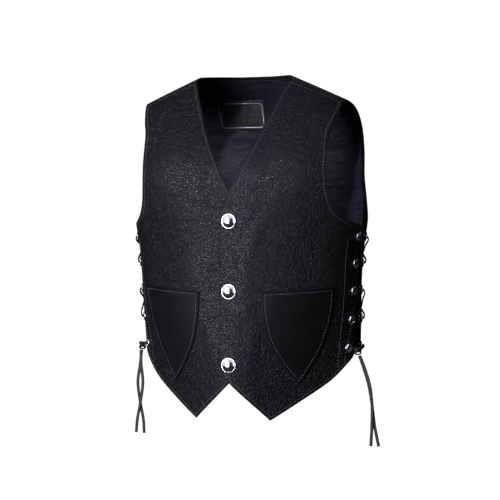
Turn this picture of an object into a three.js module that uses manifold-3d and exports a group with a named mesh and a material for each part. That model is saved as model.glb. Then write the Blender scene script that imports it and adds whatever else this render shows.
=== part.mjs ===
// Side laced leather vest: two pointed fronts that close with snaps, one back that comes over both
// shoulders, a satin back lining, two patch pockets, and a thong laced through eyelets on each side.
// Millimetres, +Z up. The garment faces -Y, so +X is the wearer's left. The origin lies midway
// between the shoulders, on the line where they carry the vest.

import * as THREE from 'three';
import { mergeVertices } from 'three/addons/utils/BufferGeometryUtils.js';
import Module from 'manifold-3d';

const wasm = await Module();
wasm.setup();

// Thickness of what is cut, and the gap that touching pieces keep
const LEATHER = 2.0;
const POCKET_LEATHER = 1.6;
const LINING = 1.0;
const GAP = 0.3;

// The form that the vest is cut for. A horizontal section is a front half and a back half that meet
// at the side line. Each half is a superellipse, with a small round nose at its centre line.
const CENTRE_Y = 30;
const FRONT_DEPTH = 99;
const NOSE = 10;
const CHEST_Z = -110;
const SECTIONS = [
  { z: -421, halfWidth: 146, frontPower: 1.27, backDepth: 90, backPower: 2.2 },
  { z: -377, halfWidth: 146, frontPower: 1.3, backDepth: 90, backPower: 2.2 },
  { z: -350, halfWidth: 146, frontPower: 1.38, backDepth: 89, backPower: 2.2 },
  { z: -322, halfWidth: 146, frontPower: 1.52, backDepth: 87, backPower: 2.2 },
  { z: -288, halfWidth: 147, frontPower: 1.75, backDepth: 85, backPower: 2.2 },
  { z: -259, halfWidth: 147, frontPower: 1.95, backDepth: 84, backPower: 2.2 },
  { z: -215, halfWidth: 149, frontPower: 2.1, backDepth: 85, backPower: 2.25 },
  { z: -190, halfWidth: 152, frontPower: 2.15, backDepth: 87, backPower: 2.3 },
  { z: -174, halfWidth: 155, frontPower: 2.22, backDepth: 88, backPower: 2.35 },
  { z: -151, halfWidth: 155, frontPower: 2.55, backDepth: 89, backPower: 2.4 },
  { z: -132, halfWidth: 154, frontPower: 3.1, backDepth: 90, backPower: 2.5 },
  { z: CHEST_Z, halfWidth: 153, frontPower: 3.4, backDepth: 90, backPower: 2.5 },
  { z: -90, halfWidth: 153, frontPower: 3.4, backDepth: 90, backPower: 2.5 },
];

// The shoulders: above the chest each half closes over a ridge that falls from the neck outwards
const RIDGE_TOP = 35.5;
const RIDGE_SLOPE = 0.4746;
const RIDGE_ROUND = 30;
const FRONT_SHOULDER_POWER = { neck: 1.2, arm: 1.5, neckX: 50, armX: 125 };
const BACK_SHOULDER_POWER = 2.4;

// Edges of the pieces
const NECK_X = 62;
const TIP_X = 133;
const NECK_DROP_BACK = 61;
const NECK_BEND = 0.62;
const SEAM_AHEAD = 9;
const OVERLAP = 12.5;
const FRONT_EDGE = 11;
const BACK_EDGE = 9;
const SIDE_TOP = -176;
const SIDE_BOTTOM = -336;
const EDGE_TOP = -161;
const EDGE_BOTTOM = -354;
const BACK_HEM_CENTRE = -362;
const FRONT_POINT = { x: 49, z: -421 };
const HEM_NOTCH = { x: 0, z: -373.5 };
const NECKLINE = [
  { x: 0, z: -134 },
  { x: 11, z: -113 },
  { x: 23, z: -86 },
  { x: 36, z: -57 },
  { x: 51, z: -17 },
];
const ARMHOLE_FRONT = [
  { x: 144, z: -171.5 },
  { x: 134, z: -163 },
  { x: 127, z: -151 },
  { x: 123, z: -137 },
  { x: 121, z: -118 },
  { x: 121, z: -88 },
  { x: 122.5, z: -60 },
  { x: 127.5, z: -42 },
];
const ARMHOLE_BACK = [
  { fromSide: 24, z: -160 },
  { fromSide: 36, z: -136 },
  { fromSide: 42, z: -110 },
  { fromSide: 40, z: -78 },
  { fromSide: 43, z: -40 },
];
const HEM_FRONT = [
  { x: 83, z: -398 },
  { x: 116, z: -374 },
  { x: 134, z: -354 },
  { x: 141, z: -344 },
];

// Closing and trim
const SNAP_HEIGHTS = [-171, -259, -351];
const SNAP = { radius: 9.5, rim: 1.4, dome: 4.6, backRadius: 6.5, backThick: 1.8 };
const EYELET_HEIGHTS = [-191, -225, -260, -297, -333];
const EYELET_INSET = 12;
const EYELET = { bore: 3.25, barrel: 3.95, flange: 6.2, rise: 1.5, backFlange: 5.2, backRise: 0.8 };
const EYELET_HOLE = 4.3;
const EYELET_GAP = 0.4;
const THONG = { width: 4.1, thick: 1.4 };
const LABEL = { width: 66, height: 40, thick: 1.0 };
const TAB = { width: 15, height: 8, thick: 1.0 };

// Steps of the grids that pieces are worked out on, and sides of what is turned on a lathe
const SECTION_STEPS = 160;
const MERIDIAN_STEPS = 60;
const FRONT_STEPS = { point: 4, hem: 10, seam: 14, edge: 11, neck: 11, side: 10, armhole: 12 };
const BACK_STEPS = { neck: 5, shoulder: 7, side: 9, arm: 11 };
const LATHE_SIDES = { eyelet: 10, cap: 20, stud: 14 };
const QUARTERS = [0, 0.25, 0.5, 0.75, 1];

const mix = (a, b, t) => a + (b - a) * t;
const clamp01 = (t) => Math.min(1, Math.max(0, t));
const smooth = (t) => clamp01(t) ** 2 * (3 - 2 * clamp01(t));

// Value of one column of the section table at a height, along a cubic through its rows
function sectionValue(name, z) {
  const rows = SECTIONS;
  const last = rows.length - 1;
  if (z <= rows[0].z) return rows[0][name];
  if (z >= rows[last].z) return rows[last][name];
  const i = rows.findIndex((row, k) => k < last && z < rows[k + 1].z);
  const slope = (k) => {
    const a = rows[Math.max(k - 1, 0)];
    const b = rows[Math.min(k + 1, last)];
    return (b[name] - a[name]) / (b.z - a.z);
  };
  const span = rows[i + 1].z - rows[i].z;
  const t = (z - rows[i].z) / span;
  const ends = mix(rows[i][name], rows[i + 1][name], t * t * (3 - 2 * t));
  return ends + span * t * (1 - t) * ((1 - t) * slope(i) - t * slope(i + 1));
}

// Linear look up of a value in two matching lists, the first of them rising
function lookUp(keys, values, key) {
  if (key <= keys[0]) return values[0];
  let low = 0;
  let high = keys.length - 1;
  if (key >= keys[high]) return values[high];
  while (high - low > 1) {
    const middle = (low + high) >> 1;
    if (keys[middle] <= key) low = middle;
    else high = middle;
  }
  return mix(values[low], values[high], (key - keys[low]) / (keys[high] - keys[low]));
}

// A polyline with its running length, kept by name so that each is worked out once
const kept = new Map();
function measured(name, steps, point) {
  if (kept.has(name)) return kept.get(name);
  const line = { a: [], b: [], run: [] };
  for (let i = 0; i <= steps; i++) {
    const [a, b] = point(i / steps);
    const run = i ? line.run[i - 1] + Math.hypot(a - line.a[i - 1], b - line.b[i - 1]) : 0;
    line.a.push(a);
    line.b.push(b);
    line.run.push(run);
  }
  line.length = line.run[steps];
  kept.set(name, line);
  return line;
}

// Half of the section at a height, from the centre line to the side line: a is x, b is y
function section(half, z) {
  return measured(`${half} section ${z.toFixed(3)}`, SECTION_STEPS, (t) => {
    const power = sectionValue(half === 'front' ? 'frontPower' : 'backPower', z);
    const depth = half === 'front' ? -FRONT_DEPTH : sectionValue('backDepth', z);
    const reach = Math.hypot(sectionValue('halfWidth', z), NOSE) - NOSE;
    const angle = t * Math.PI / 2;
    const out = NOSE + reach * Math.sin(angle) ** (2 / power);
    const x = Math.sqrt(Math.max(0, out * out - NOSE * NOSE));
    return [x, CENTRE_Y + depth * Math.max(0, Math.cos(angle)) ** (2 / power)];
  });
}

const ridgeZ = (x) => RIDGE_TOP - RIDGE_SLOPE * (Math.hypot(x, RIDGE_ROUND) - RIDGE_ROUND);

// The line from the chest up to the ridge at one x: a is y, b is z
function meridian(half, x) {
  return measured(`${half} meridian ${x.toFixed(3)}`, MERIDIAN_STEPS, (t) => {
    const chest = section(half, CHEST_Z);
    const depth = lookUp(chest.a, chest.b, x);
    const arm = clamp01((x - FRONT_SHOULDER_POWER.neckX)
      / (FRONT_SHOULDER_POWER.armX - FRONT_SHOULDER_POWER.neckX));
    const frontPower = mix(FRONT_SHOULDER_POWER.neck, FRONT_SHOULDER_POWER.arm, arm);
    const power = half === 'front' ? frontPower : BACK_SHOULDER_POWER;
    const angle = t * Math.PI / 2;
    const rise = Math.sin(angle) ** (2 / power);
    const lean = Math.max(0, Math.cos(angle)) ** (2 / power);
    return [depth * lean, CHEST_Z + (ridgeZ(x) - CHEST_Z) * rise];
  });
}

// Pattern coordinates of a half: across is the share of the way from the centre line to the side
// line, and up is the distance from the chest line, measured along the surface
function form(half, across, up) {
  const share = Math.abs(across);
  const sign = across < 0 ? -1 : 1;
  if (up <= 0) {
    const row = section(half, CHEST_Z + up);
    const run = share * row.length;
    const x = lookUp(row.run, row.a, run);
    return new THREE.Vector3(sign * x, lookUp(row.run, row.b, run), CHEST_Z + up);
  }
  const chest = section(half, CHEST_Z);
  const x = lookUp(chest.run, chest.a, share * chest.length);
  let line = meridian(half, x);
  let run = up;
  if (up > line.length) {
    const past = up - line.length;
    line = meridian(half === 'front' ? 'back' : 'front', x);
    run = line.length - past;
  }
  return new THREE.Vector3(sign * x, lookUp(line.run, line.a, run), lookUp(line.run, line.b, run));
}

// Outward direction of the form, from small steps along both pattern coordinates
function outward(half, across, up) {
  const step = 1.5;
  const stepAcross = step / section(half, Math.min(CHEST_Z, CHEST_Z + up)).length;
  const alongAcross = form(half, across + stepAcross, up).sub(form(half, across - stepAcross, up));
  const alongUp = form(half, across, up + step).sub(form(half, across, up - step));
  const normal = alongAcross.cross(alongUp).normalize();
  return half === 'front' ? normal : normal.negate();
}

const lifted = (half, at, lift) => form(half, at.across, at.up)
  .addScaledVector(outward(half, at.across, at.up), lift);

// Pattern coordinates of a place given by its x, or by its distance from the side line
function placeX(half, x, z) {
  const row = section(half, Math.min(z, CHEST_Z));
  const across = Math.sign(x) * lookUp(row.a, row.run, Math.abs(x)) / row.length;
  if (z <= CHEST_Z) return { across, up: z - CHEST_Z };
  const line = meridian(half, Math.abs(x));
  return { across, up: lookUp(line.b, line.run, z) };
}

function placeSide(half, fromSide, z) {
  const row = section(half, Math.min(z, CHEST_Z));
  const run = row.length - fromSide;
  if (z <= CHEST_Z) return { across: run / row.length, up: z - CHEST_Z };
  return placeX(half, lookUp(row.run, row.a, run), z);
}

// A place on the shoulder, so many millimetres in front of the ridge
function placeShoulder(half, x, ahead) {
  const row = section(half, CHEST_Z);
  const length = meridian(half, x).length;
  const up = half === 'front' ? length - ahead : length + ahead;
  return { across: lookUp(row.a, row.run, x) / row.length, up };
}

// Edges of a pattern piece are traced through places, so many steps to a stretch, with a corner
// wherever two stretches meet. Steps crowd towards a stretch's end where crowd is over 1.
const ACROSS_SCALE = 190;
function trace(stretches) {
  const points = [];
  for (const { through, steps, crowd = 1 } of stretches) {
    const curve = new THREE.SplineCurve(
      through.map((at) => new THREE.Vector2(at.across * ACROSS_SCALE, at.up)));
    for (let i = points.length ? 1 : 0; i <= steps; i++) {
      points.push(curve.getPointAt(1 - (1 - i / steps) ** crowd));
    }
  }
  return points.map((p) => ({ across: p.x / ACROSS_SCALE, up: p.y }));
}

// The inside of a pattern piece is blended from its four edges, as in a Coons patch, where the bow
// of the left and right edges dies away with the square of the distance
function patch({ bottom, top, left, right }) {
  const blend = (name, i, j) => {
    const u = i / (bottom.length - 1);
    const v = j / (left.length - 1);
    const bowed = (edge) => edge[j][name] - mix(edge[0][name], edge.at(-1)[name], v);
    return mix(bottom[i][name], top[i][name], v)
      + (1 - u) ** 2 * bowed(left) + u ** 2 * bowed(right);
  };
  return bottom.map((_, i) => left.map((__, j) => ({
    across: blend('across', i, j),
    up: blend('up', i, j),
  })));
}

// A closed wall between two grids of points of the same size
function wallBetween(outer, inner) {
  const columns = outer.length;
  const rows = outer[0].length;
  const points = [...outer.flat(), ...inner.flat()];
  const count = columns * rows;
  const index = [];
  const quad = (a, b, c, d) => index.push(a, b, c, a, c, d);
  const at = (i, j) => i * rows + j;
  for (let i = 0; i < columns - 1; i++) {
    for (let j = 0; j < rows - 1; j++) {
      quad(at(i, j), at(i + 1, j), at(i + 1, j + 1), at(i, j + 1));
      quad(count + at(i, j), count + at(i, j + 1), count + at(i + 1, j + 1), count + at(i + 1, j));
    }
  }
  const rim = [];
  for (let i = 0; i < columns; i++) rim.push(at(i, 0));
  for (let j = 1; j < rows; j++) rim.push(at(columns - 1, j));
  for (let i = columns - 2; i >= 0; i--) rim.push(at(i, rows - 1));
  for (let j = rows - 2; j > 0; j--) rim.push(at(0, j));
  rim.forEach((a, k) => {
    const b = rim[(k + 1) % rim.length];
    quad(a, count + a, count + b, b);
  });
  return facingOut(points, index);
}

// A closed wall between two sets of rings that shrink to one middle point each
function wallOfRings(outer, inner) {
  const sides = outer.rings[0].length;
  const points = [];
  const index = [];
  const face = (a, b, c, turn) => index.push(...(turn ? [a, c, b] : [a, b, c]));
  [outer, inner].forEach((skin, k) => {
    const start = points.length;
    points.push(...skin.rings.flat(), skin.middle);
    const middle = points.length - 1;
    skin.rings.forEach((ring, r) => ring.forEach((_, i) => {
      const next = (i + 1) % sides;
      const a = start + r * sides + i;
      const b = start + r * sides + next;
      if (r + 1 === skin.rings.length) {
        face(a, b, middle, k);
        return;
      }
      face(a, b, b + sides, k);
      face(a, b + sides, a + sides, k);
    }));
  });
  const second = sides * outer.rings.length + 1;
  for (let i = 0; i < sides; i++) {
    const next = (i + 1) % sides;
    index.push(i, second + i, second + next, i, second + next, next);
  }
  return facingOut(points, index);
}

// A mesh from points and faces, turned round as a whole where its faces point in
function facingOut(points, index) {
  let volume = 0;
  for (let k = 0; k < index.length; k += 3) {
    const [a, b, c] = [points[index[k]], points[index[k + 1]], points[index[k + 2]]];
    volume += a.dot(new THREE.Vector3().crossVectors(b, c));
  }
  const faces = volume > 0 ? index : index.slice().reverse();
  const geometry = new THREE.BufferGeometry().setFromPoints(points);
  geometry.setIndex(faces);
  return geometry;
}

// Solids for cutting and joining
function solidOf(geometry) {
  const bare = geometry.clone();
  bare.deleteAttribute('normal');
  bare.deleteAttribute('uv');
  const merged = mergeVertices(bare, 1e-4);
  return new wasm.Manifold(new wasm.Mesh({
    numProp: 3,
    vertProperties: Float32Array.from(merged.attributes.position.array),
    triVerts: Uint32Array.from(merged.index.array),
  }));
}

function geometryOf(solid) {
  const { vertProperties, triVerts } = solid.getMesh();
  const geometry = new THREE.BufferGeometry();
  geometry.setAttribute('position', new THREE.BufferAttribute(new Float32Array(vertProperties), 3));
  geometry.setIndex([...triVerts]);
  return geometry;
}

const UP = new THREE.Vector3(0, 1, 0);
const mirrored = (point, side) => new THREE.Vector3(point.x * side, point.y, point.z);

// Where an eyelet sits: the middle of its hole on the leather's face, and the way out
function eyeletSeat(half, side, z) {
  const edge = half === 'front' ? FRONT_EDGE : BACK_EDGE;
  const at = placeSide(half, edge + EYELET_INSET, z);
  return {
    point: mirrored(lifted(half, at, 0), side),
    normal: mirrored(outward(half, at.across, at.up), side),
  };
}

// A lathed shape with its axis along a direction, from radii and heights above a point
function turned(profile, segments, point, normal) {
  const geometry = new THREE.LatheGeometry(profile.map(([r, h]) => new THREE.Vector2(r, h)), segments);
  geometry.applyQuaternion(new THREE.Quaternion().setFromUnitVectors(UP, normal));
  geometry.translate(point.x, point.y, point.z);
  return geometryOf(solidOf(geometry));
}

// A hole for each eyelet, with the leather pressed flat under both of its flanges
const PRESS_OUT = EYELET_GAP - GAP;
const PRESS_IN = -LEATHER - PRESS_OUT;
const DRILL_REACH = 4;
const DRILL_PROFILE = [[0, PRESS_IN - DRILL_REACH],
  [EYELET.backFlange + GAP, PRESS_IN - DRILL_REACH], [EYELET.backFlange + GAP, PRESS_IN],
  [EYELET_HOLE, PRESS_IN], [EYELET_HOLE, PRESS_OUT], [EYELET.flange + GAP, PRESS_OUT],
  [EYELET.flange + GAP, DRILL_REACH], [0, DRILL_REACH]];
const drillAt = ({ point, normal }) => turned(DRILL_PROFILE, LATHE_SIDES.eyelet, point, normal);
const cutBy = (geometry, cutters) => geometryOf(cutters.reduce((solid, cutter) => (
  solid.subtract(solidOf(cutter))), solidOf(geometry)));

// Finishes
const finish = (color, roughness, metalness) => new THREE.MeshStandardMaterial({
  color, roughness, metalness,
});
const LEATHER_BLACK = finish(0x17171c, 0.5, 0);
const POCKET_BLACK = finish(0x141214, 0.6, 0);
const SATIN = finish(0x232533, 0.35, 0);
const NICKEL = finish(0xd4d6da, 0.2, 1);
const THONG_BLACK = finish(0x101012, 0.6, 0);
const WOVEN_BLACK = finish(0x0c0c0e, 0.8, 0);

const vest = new THREE.Group();
function add(name, geometry, material) {
  const mesh = new THREE.Mesh(geometry, material);
  mesh.name = name;
  vest.add(mesh);
}

// Fronts. The wearer's left front lies over the right one, so along the centre it stands out by
// half a thickness and a gap, and the other stands in by as much.
const OVERLAP_STEP = (LEATHER + GAP) / 2 + 0.2;
const OVERLAP_FLAT = 20;
const OVERLAP_FADE = 50;
function frontLift(x, over) {
  const away = smooth((Math.abs(x) - OVERLAP_FLAT) / (OVERLAP_FADE - OVERLAP_FLAT));
  return over * OVERLAP_STEP * (1 - away);
}

// Where a snap presses the leather flat: outside on the upper front, inside on the under front
const AHEAD = new THREE.Vector3(0, -1, 0);
const PRESS_SIDES = 16;
function snapSeat(z, over) {
  const lift = over > 0 ? OVERLAP_STEP : -OVERLAP_STEP - LEATHER;
  const point = form('front', 0, z - CHEST_Z).addScaledVector(AHEAD, lift);
  const radius = (over > 0 ? SNAP.radius : SNAP.backRadius) + GAP;
  return { point, normal: AHEAD.clone().multiplyScalar(over), radius };
}

function frontPattern() {
  const at = ({ x, z }) => placeX('front', x, z);
  const edgeTop = placeX('front', -OVERLAP, EDGE_TOP);
  const edgeBottom = placeX('front', -OVERLAP, EDGE_BOTTOM);
  const point = at(FRONT_POINT);
  const sideTop = placeSide('front', FRONT_EDGE, SIDE_TOP);
  const sideBottom = placeSide('front', FRONT_EDGE, SIDE_BOTTOM);
  const neck = placeShoulder('front', NECK_X, SEAM_AHEAD + GAP);
  const tip = placeShoulder('front', TIP_X, SEAM_AHEAD + GAP);
  const seam = QUARTERS.map((t) => (
    placeShoulder('front', mix(NECK_X, TIP_X, t), SEAM_AHEAD + GAP)));
  const sideEdge = QUARTERS.map((t) => (
    placeSide('front', FRONT_EDGE, mix(SIDE_BOTTOM, SIDE_TOP, t))));
  const edgeMiddle = placeX('front', -OVERLAP, mix(EDGE_BOTTOM, EDGE_TOP, 0.5));
  return {
    bottom: trace([
      { through: [edgeBottom, at(HEM_NOTCH), point], steps: FRONT_STEPS.point },
      { through: [point, ...HEM_FRONT.map(at), sideBottom], steps: FRONT_STEPS.hem },
    ]),
    top: trace([{ through: seam, steps: FRONT_STEPS.seam }]),
    left: trace([
      { through: [edgeBottom, edgeMiddle, edgeTop], steps: FRONT_STEPS.edge },
      { through: [edgeTop, ...NECKLINE.map(at), neck], steps: FRONT_STEPS.neck },
    ]),
    right: trace([
      { through: sideEdge, steps: FRONT_STEPS.side },
      { through: [sideTop, ...ARMHOLE_FRONT.map(at), tip], steps: FRONT_STEPS.armhole },
    ]),
  };
}

const frontGrid = patch(frontPattern());
function frontPanel(over) {
  const skin = (lift) => frontGrid.map((column) => column.map((at) => {
    const x = form('front', at.across, at.up).x;
    return mirrored(lifted('front', at, lift + frontLift(x, over)), over);
  }));
  const holes = EYELET_HEIGHTS.map((z) => drillAt(eyeletSeat('front', over, z)));
  const seats = SNAP_HEIGHTS.map((z) => snapSeat(z, over));
  const presses = seats.map(({ point, normal, radius }) => {
    const profile = [[0, 0], [radius, 0], [radius, DRILL_REACH], [0, DRILL_REACH]];
    return turned(profile, PRESS_SIDES, point, normal);
  });
  return cutBy(wallBetween(skin(0), skin(-LEATHER)), [...holes, ...presses]);
}
add('front_left', frontPanel(1), LEATHER_BLACK);
add('front_right', frontPanel(-1), LEATHER_BLACK);

// Back: from the hem to the neck, and over the ridge to the shoulder seams in front of it
function neckPlace(t) {
  const x = NECK_X * Math.sin(t * Math.PI / 2);
  const y = (NECK_DROP_BACK + SEAM_AHEAD) * (1 - (x / NECK_X) ** 2) ** NECK_BEND - SEAM_AHEAD;
  if (y <= 0) return placeShoulder('back', x, -y);
  const line = meridian('back', x);
  const row = section('back', CHEST_Z);
  const up = lookUp([...line.a].reverse(), [...line.run].reverse(), y);
  return { across: lookUp(row.a, row.run, x) / row.length, up };
}

function backPattern() {
  const seam = QUARTERS.map((t) => placeShoulder('back', mix(NECK_X, TIP_X, t), SEAM_AHEAD));
  const neckline = [...[0, 0.2, 0.4, 0.6, 0.8].map(neckPlace), seam[0]];
  const sideEdge = QUARTERS.map((t) => placeSide('back', BACK_EDGE, mix(SIDE_BOTTOM, SIDE_TOP, t)));
  const armhole = ARMHOLE_BACK.map((row) => placeSide('back', row.fromSide, row.z));
  const hemline = QUARTERS.map((t) => placeSide('back',
    mix(section('back', BACK_HEM_CENTRE).length, BACK_EDGE, t),
    mix(BACK_HEM_CENTRE, SIDE_BOTTOM, t ** 2)));
  const centre = [{ across: 0, up: hemline[0].up }, { across: 0, up: 0 }, neckline[0]];
  const { neck, shoulder, side, arm } = BACK_STEPS;
  return {
    bottom: trace([{ through: hemline, steps: neck + shoulder, crowd: 1.3 }]),
    top: trace([{ through: neckline, steps: neck }, { through: seam, steps: shoulder }]),
    left: trace([{ through: centre, steps: side + arm }]),
    right: trace([
      { through: sideEdge, steps: side },
      { through: [sideEdge.at(-1), ...armhole, seam.at(-1)], steps: arm },
    ]),
  };
}

const backGrid = patch(backPattern());
function backHalf(lift) {
  const grid = backGrid.map((column) => column.map((at) => lifted('back', at, lift)));
  grid[0].forEach((point) => point.setX(0));
  return grid;
}

// The wearer's left half of a grid, with its mirror image before it
function bothHalves(half) {
  const other = half.slice(1).reverse().map((column) => column.map((p) => mirrored(p, -1)));
  return [...other, ...half];
}

const backHoles = [-1, 1].flatMap((side) => (
  EYELET_HEIGHTS.map((z) => drillAt(eyeletSeat('back', side, z)))));
const backWall = wallBetween(bothHalves(backHalf(0)), bothHalves(backHalf(-LEATHER)));
add('back', cutBy(backWall, backHoles), LEATHER_BLACK);

// Back lining: satin inside the back. Its points lie on the back's own faces, and its edges stop
// short of the back's by a share of its columns and rows: at the hem, the neck, the shoulder ridge,
// the laced strips and the armholes. Towards the neck it hangs a little slack.
const LINING_SHORT = { hem: 0.9, neck: 0.4, shoulder: 1.5, strip: 2, arm: 0.6 };
const LINING_TOP_STEPS = 3;
const LINING_SIDE_STEPS = 2;
const LINING_SLACK = 1.1;
const SLACK_ROWS = { from: 5, over: 2 };
const STRIP_FADE_ROWS = 3;
function liningHalf(lift) {
  const close = backHalf(lift);
  const slack = backHalf(lift - LINING_SLACK);
  const grid = close.map((line, i) => line.map((point, j) => (
    point.lerp(slack[i][j], smooth((j - line.length + SLACK_ROWS.from) / SLACK_ROWS.over)))));
  const lastColumn = grid.length - 1;
  const lastRow = grid[0].length - 1;
  const sample = (i, j) => {
    const [a, b] = [Math.min(Math.floor(i), lastColumn - 1), Math.min(Math.floor(j), lastRow - 1)];
    const low = grid[a][b].clone().lerp(grid[a + 1][b], i - a);
    const high = grid[a][b + 1].clone().lerp(grid[a + 1][b + 1], i - a);
    return low.lerp(high, j - b);
  };
  const wholeColumns = lastColumn - LINING_SIDE_STEPS - 1;
  const wholeRows = lastRow - LINING_TOP_STEPS;
  const column = (k, j) => {
    if (k <= wholeColumns) return k;
    const lace = smooth((j - BACK_STEPS.side) / STRIP_FADE_ROWS);
    const end = lastColumn - mix(LINING_SHORT.strip, LINING_SHORT.arm, lace);
    return mix(wholeColumns, end, (k - wholeColumns) / LINING_SIDE_STEPS);
  };
  const row = (k, n) => {
    if (n <= wholeRows) return Math.max(n, LINING_SHORT.hem);
    const beyond = n - wholeRows;
    const shoulder = smooth((k - 1) / BACK_STEPS.neck);
    const top = lastRow - mix(LINING_SHORT.neck, LINING_SHORT.shoulder, shoulder);
    return mix(wholeRows, top, beyond / LINING_TOP_STEPS);
  };
  return Array.from({ length: wholeColumns + LINING_SIDE_STEPS + 1 }, (_, k) => (
    Array.from({ length: lastRow }, (__, n) => row(k, n + 1)).map((j) => sample(column(k, j), j))));
}

const LINING_LIFT = -LEATHER - 0.55;
const liningInside = bothHalves(liningHalf(LINING_LIFT - LINING));
add('back_lining', wallBetween(bothHalves(liningHalf(LINING_LIFT)), liningInside), SATIN);

// Patch pockets: straight on top, with curved sides that meet in a point
const POCKET_TOP = { inner: { x: 40.5, z: -259 }, outer: { x: 124, z: -254 } };
const POCKET_POINT = { x: 81, z: -377 };
const POCKET_MIDDLE = { x: 82, z: -302 };
const POCKET_OUTER_SIDE = [{ x: 121, z: -282 }, { x: 115, z: -307 }, { x: 103, z: -339 }];
const POCKET_INNER_SIDE = [{ x: 63, z: -350 }, { x: 49, z: -322 }, { x: 42, z: -288 }];
const POCKET_RINGS = 5;
const POCKET_GAP = GAP + 0.2;
function pocket(over) {
  const at = ({ x, z }) => placeX('front', x, z);
  const corners = [at(POCKET_TOP.inner), at(POCKET_TOP.outer), at(POCKET_POINT)];
  const outline = trace([
    { through: [corners[0], corners[1]], steps: 8 },
    { through: [corners[1], ...POCKET_OUTER_SIDE.map(at), corners[2]], steps: 10 },
    { through: [corners[2], ...POCKET_INNER_SIDE.map(at), corners[0]], steps: 10 },
  ]).slice(0, -1);
  const centre = at(POCKET_MIDDLE);
  const skin = (lift) => {
    const place = (where) => {
      const x = form('front', where.across, where.up).x;
      return mirrored(lifted('front', where, lift + frontLift(x, over)), over);
    };
    const ring = (k) => outline.map((edge) => place({
      across: mix(edge.across, centre.across, k / POCKET_RINGS),
      up: mix(edge.up, centre.up, k / POCKET_RINGS),
    }));
    return { rings: Array.from({ length: POCKET_RINGS }, (_, k) => ring(k)), middle: place(centre) };
  };
  return wallOfRings(skin(POCKET_GAP + POCKET_LEATHER), skin(POCKET_GAP));
}
add('pocket_left', pocket(1), POCKET_BLACK);
add('pocket_right', pocket(-1), POCKET_BLACK);

// Snaps: a domed cap on the upper front, and the flat back of its stud inside the under front
const snapProfile = ({ radius, rim, dome }) => [[0, 0], [radius - 0.8, 0], [radius, rim / 2],
  [radius - 0.5, rim], [radius * 0.72, rim + (dome - rim) * 0.55], [radius * 0.38, dome - 0.4],
  [0, dome]];
const studProfile = ({ backRadius, backThick }) => [[0, 0], [backRadius, 0],
  [backRadius, backThick * 0.4], [backRadius - 1, backThick], [0, backThick]];
SNAP_HEIGHTS.forEach((z, i) => {
  const cap = snapSeat(z, 1);
  const stud = snapSeat(z, -1);
  cap.point.addScaledVector(cap.normal, GAP);
  stud.point.addScaledVector(stud.normal, GAP);
  add(`snap_cap_${i + 1}`, turned(snapProfile(SNAP), LATHE_SIDES.cap, cap.point, cap.normal), NICKEL);
  add(`snap_back_${i + 1}`, turned(studProfile(SNAP), LATHE_SIDES.stud, stud.point, stud.normal), NICKEL);
});

// Eyelets: a flange outside, a barrel through the hole, rolled over inside
const { bore, barrel, flange, rise, backFlange, backRise } = EYELET;
const EYELET_PROFILE = [[bore, rise], [bore, -LEATHER - EYELET_GAP - backRise],
  [backFlange, -LEATHER - EYELET_GAP], [barrel, -LEATHER - EYELET_GAP], [barrel, EYELET_GAP],
  [flange, EYELET_GAP], [bore, rise]];
const SIDES = { left: 1, right: -1 };
for (const [word, side] of Object.entries(SIDES)) {
  for (const half of ['front', 'back']) {
    EYELET_HEIGHTS.forEach((z, i) => {
      const { point, normal } = eyeletSeat(half, side, z);
      const ring = turned(EYELET_PROFILE, LATHE_SIDES.eyelet, point, normal);
      add(`eyelet_${half}_${word}_${i + 1}`, ring, NICKEL);
    });
  }
}

// A place beside the side line: across is ahead of it where negative, behind it where positive
function besideSide(side, across, z, lift) {
  const half = across < 0 ? 'front' : 'back';
  const at = placeSide(half, Math.max(Math.abs(across), 1), z);
  const normal = outward(half, at.across, at.up);
  const point = form(half, at.across, at.up).addScaledVector(normal, lift);
  return { point: mirrored(point, side), normal: mirrored(normal, side) };
}

// A flat thong along a curve, lying flat on the garment and turning through the eyelets. Its width
// follows the garment's face as fast as it turns, but not where it runs straight in or out.
const THONG_STEPS = 110;
const RUNS_IN = 0.2;
const TURN_SPEED = 0.6;
function thong(knots) {
  const curve = new THREE.CatmullRomCurve3(knots.map((k) => k.point), false, 'centripetal');
  const widths = [];
  const spots = [];
  let previous = null;
  for (let i = 0; i <= THONG_STEPS; i++) {
    const spot = curve.getPointAt(i / THONG_STEPS);
    const along = curve.getTangentAt(i / THONG_STEPS);
    const share = curve.getUtoTmapping(i / THONG_STEPS) * (knots.length - 1);
    const k = Math.min(Math.floor(share), knots.length - 2);
    const normal = knots[k].normal.clone().lerp(knots[k + 1].normal, share - k).normalize();
    const wish = new THREE.Vector3().crossVectors(along, normal);
    const flatness = wish.length();
    let width = previous ? previous.clone() : wish.clone();
    if (flatness > RUNS_IN) {
      wish.normalize();
      if (previous && wish.dot(previous) < 0) wish.negate();
      width.lerp(wish, previous ? flatness ** 2 * TURN_SPEED : 1);
    }
    width.addScaledVector(along, -width.dot(along)).normalize();
    previous = width;
    widths.push(width);
    spots.push({ spot, along });
  }
  const rings = spots.map(({ spot, along }, i) => {
    const depth = new THREE.Vector3().crossVectors(along, widths[i]).normalize();
    return [[1, 1], [-1, 1], [-1, -1], [1, -1]].map(([a, b]) => spot.clone()
      .addScaledVector(widths[i], a * THONG.width / 2)
      .addScaledVector(depth, b * THONG.thick / 2));
  });
  return rope(rings);
}

function rope(rings) {
  const sides = rings[0].length;
  const index = [];
  for (let r = 0; r < rings.length - 1; r++) {
    for (let i = 0; i < sides; i++) {
      const a = r * sides + i;
      const b = r * sides + ((i + 1) % sides);
      index.push(a, b, b + sides, a, b + sides, a + sides);
    }
  }
  const last = (rings.length - 1) * sides;
  for (let i = 1; i < sides - 1; i++) index.push(0, i + 1, i, last, last + i, last + i + 1);
  return facingOut(rings.flat(), index);
}

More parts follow.
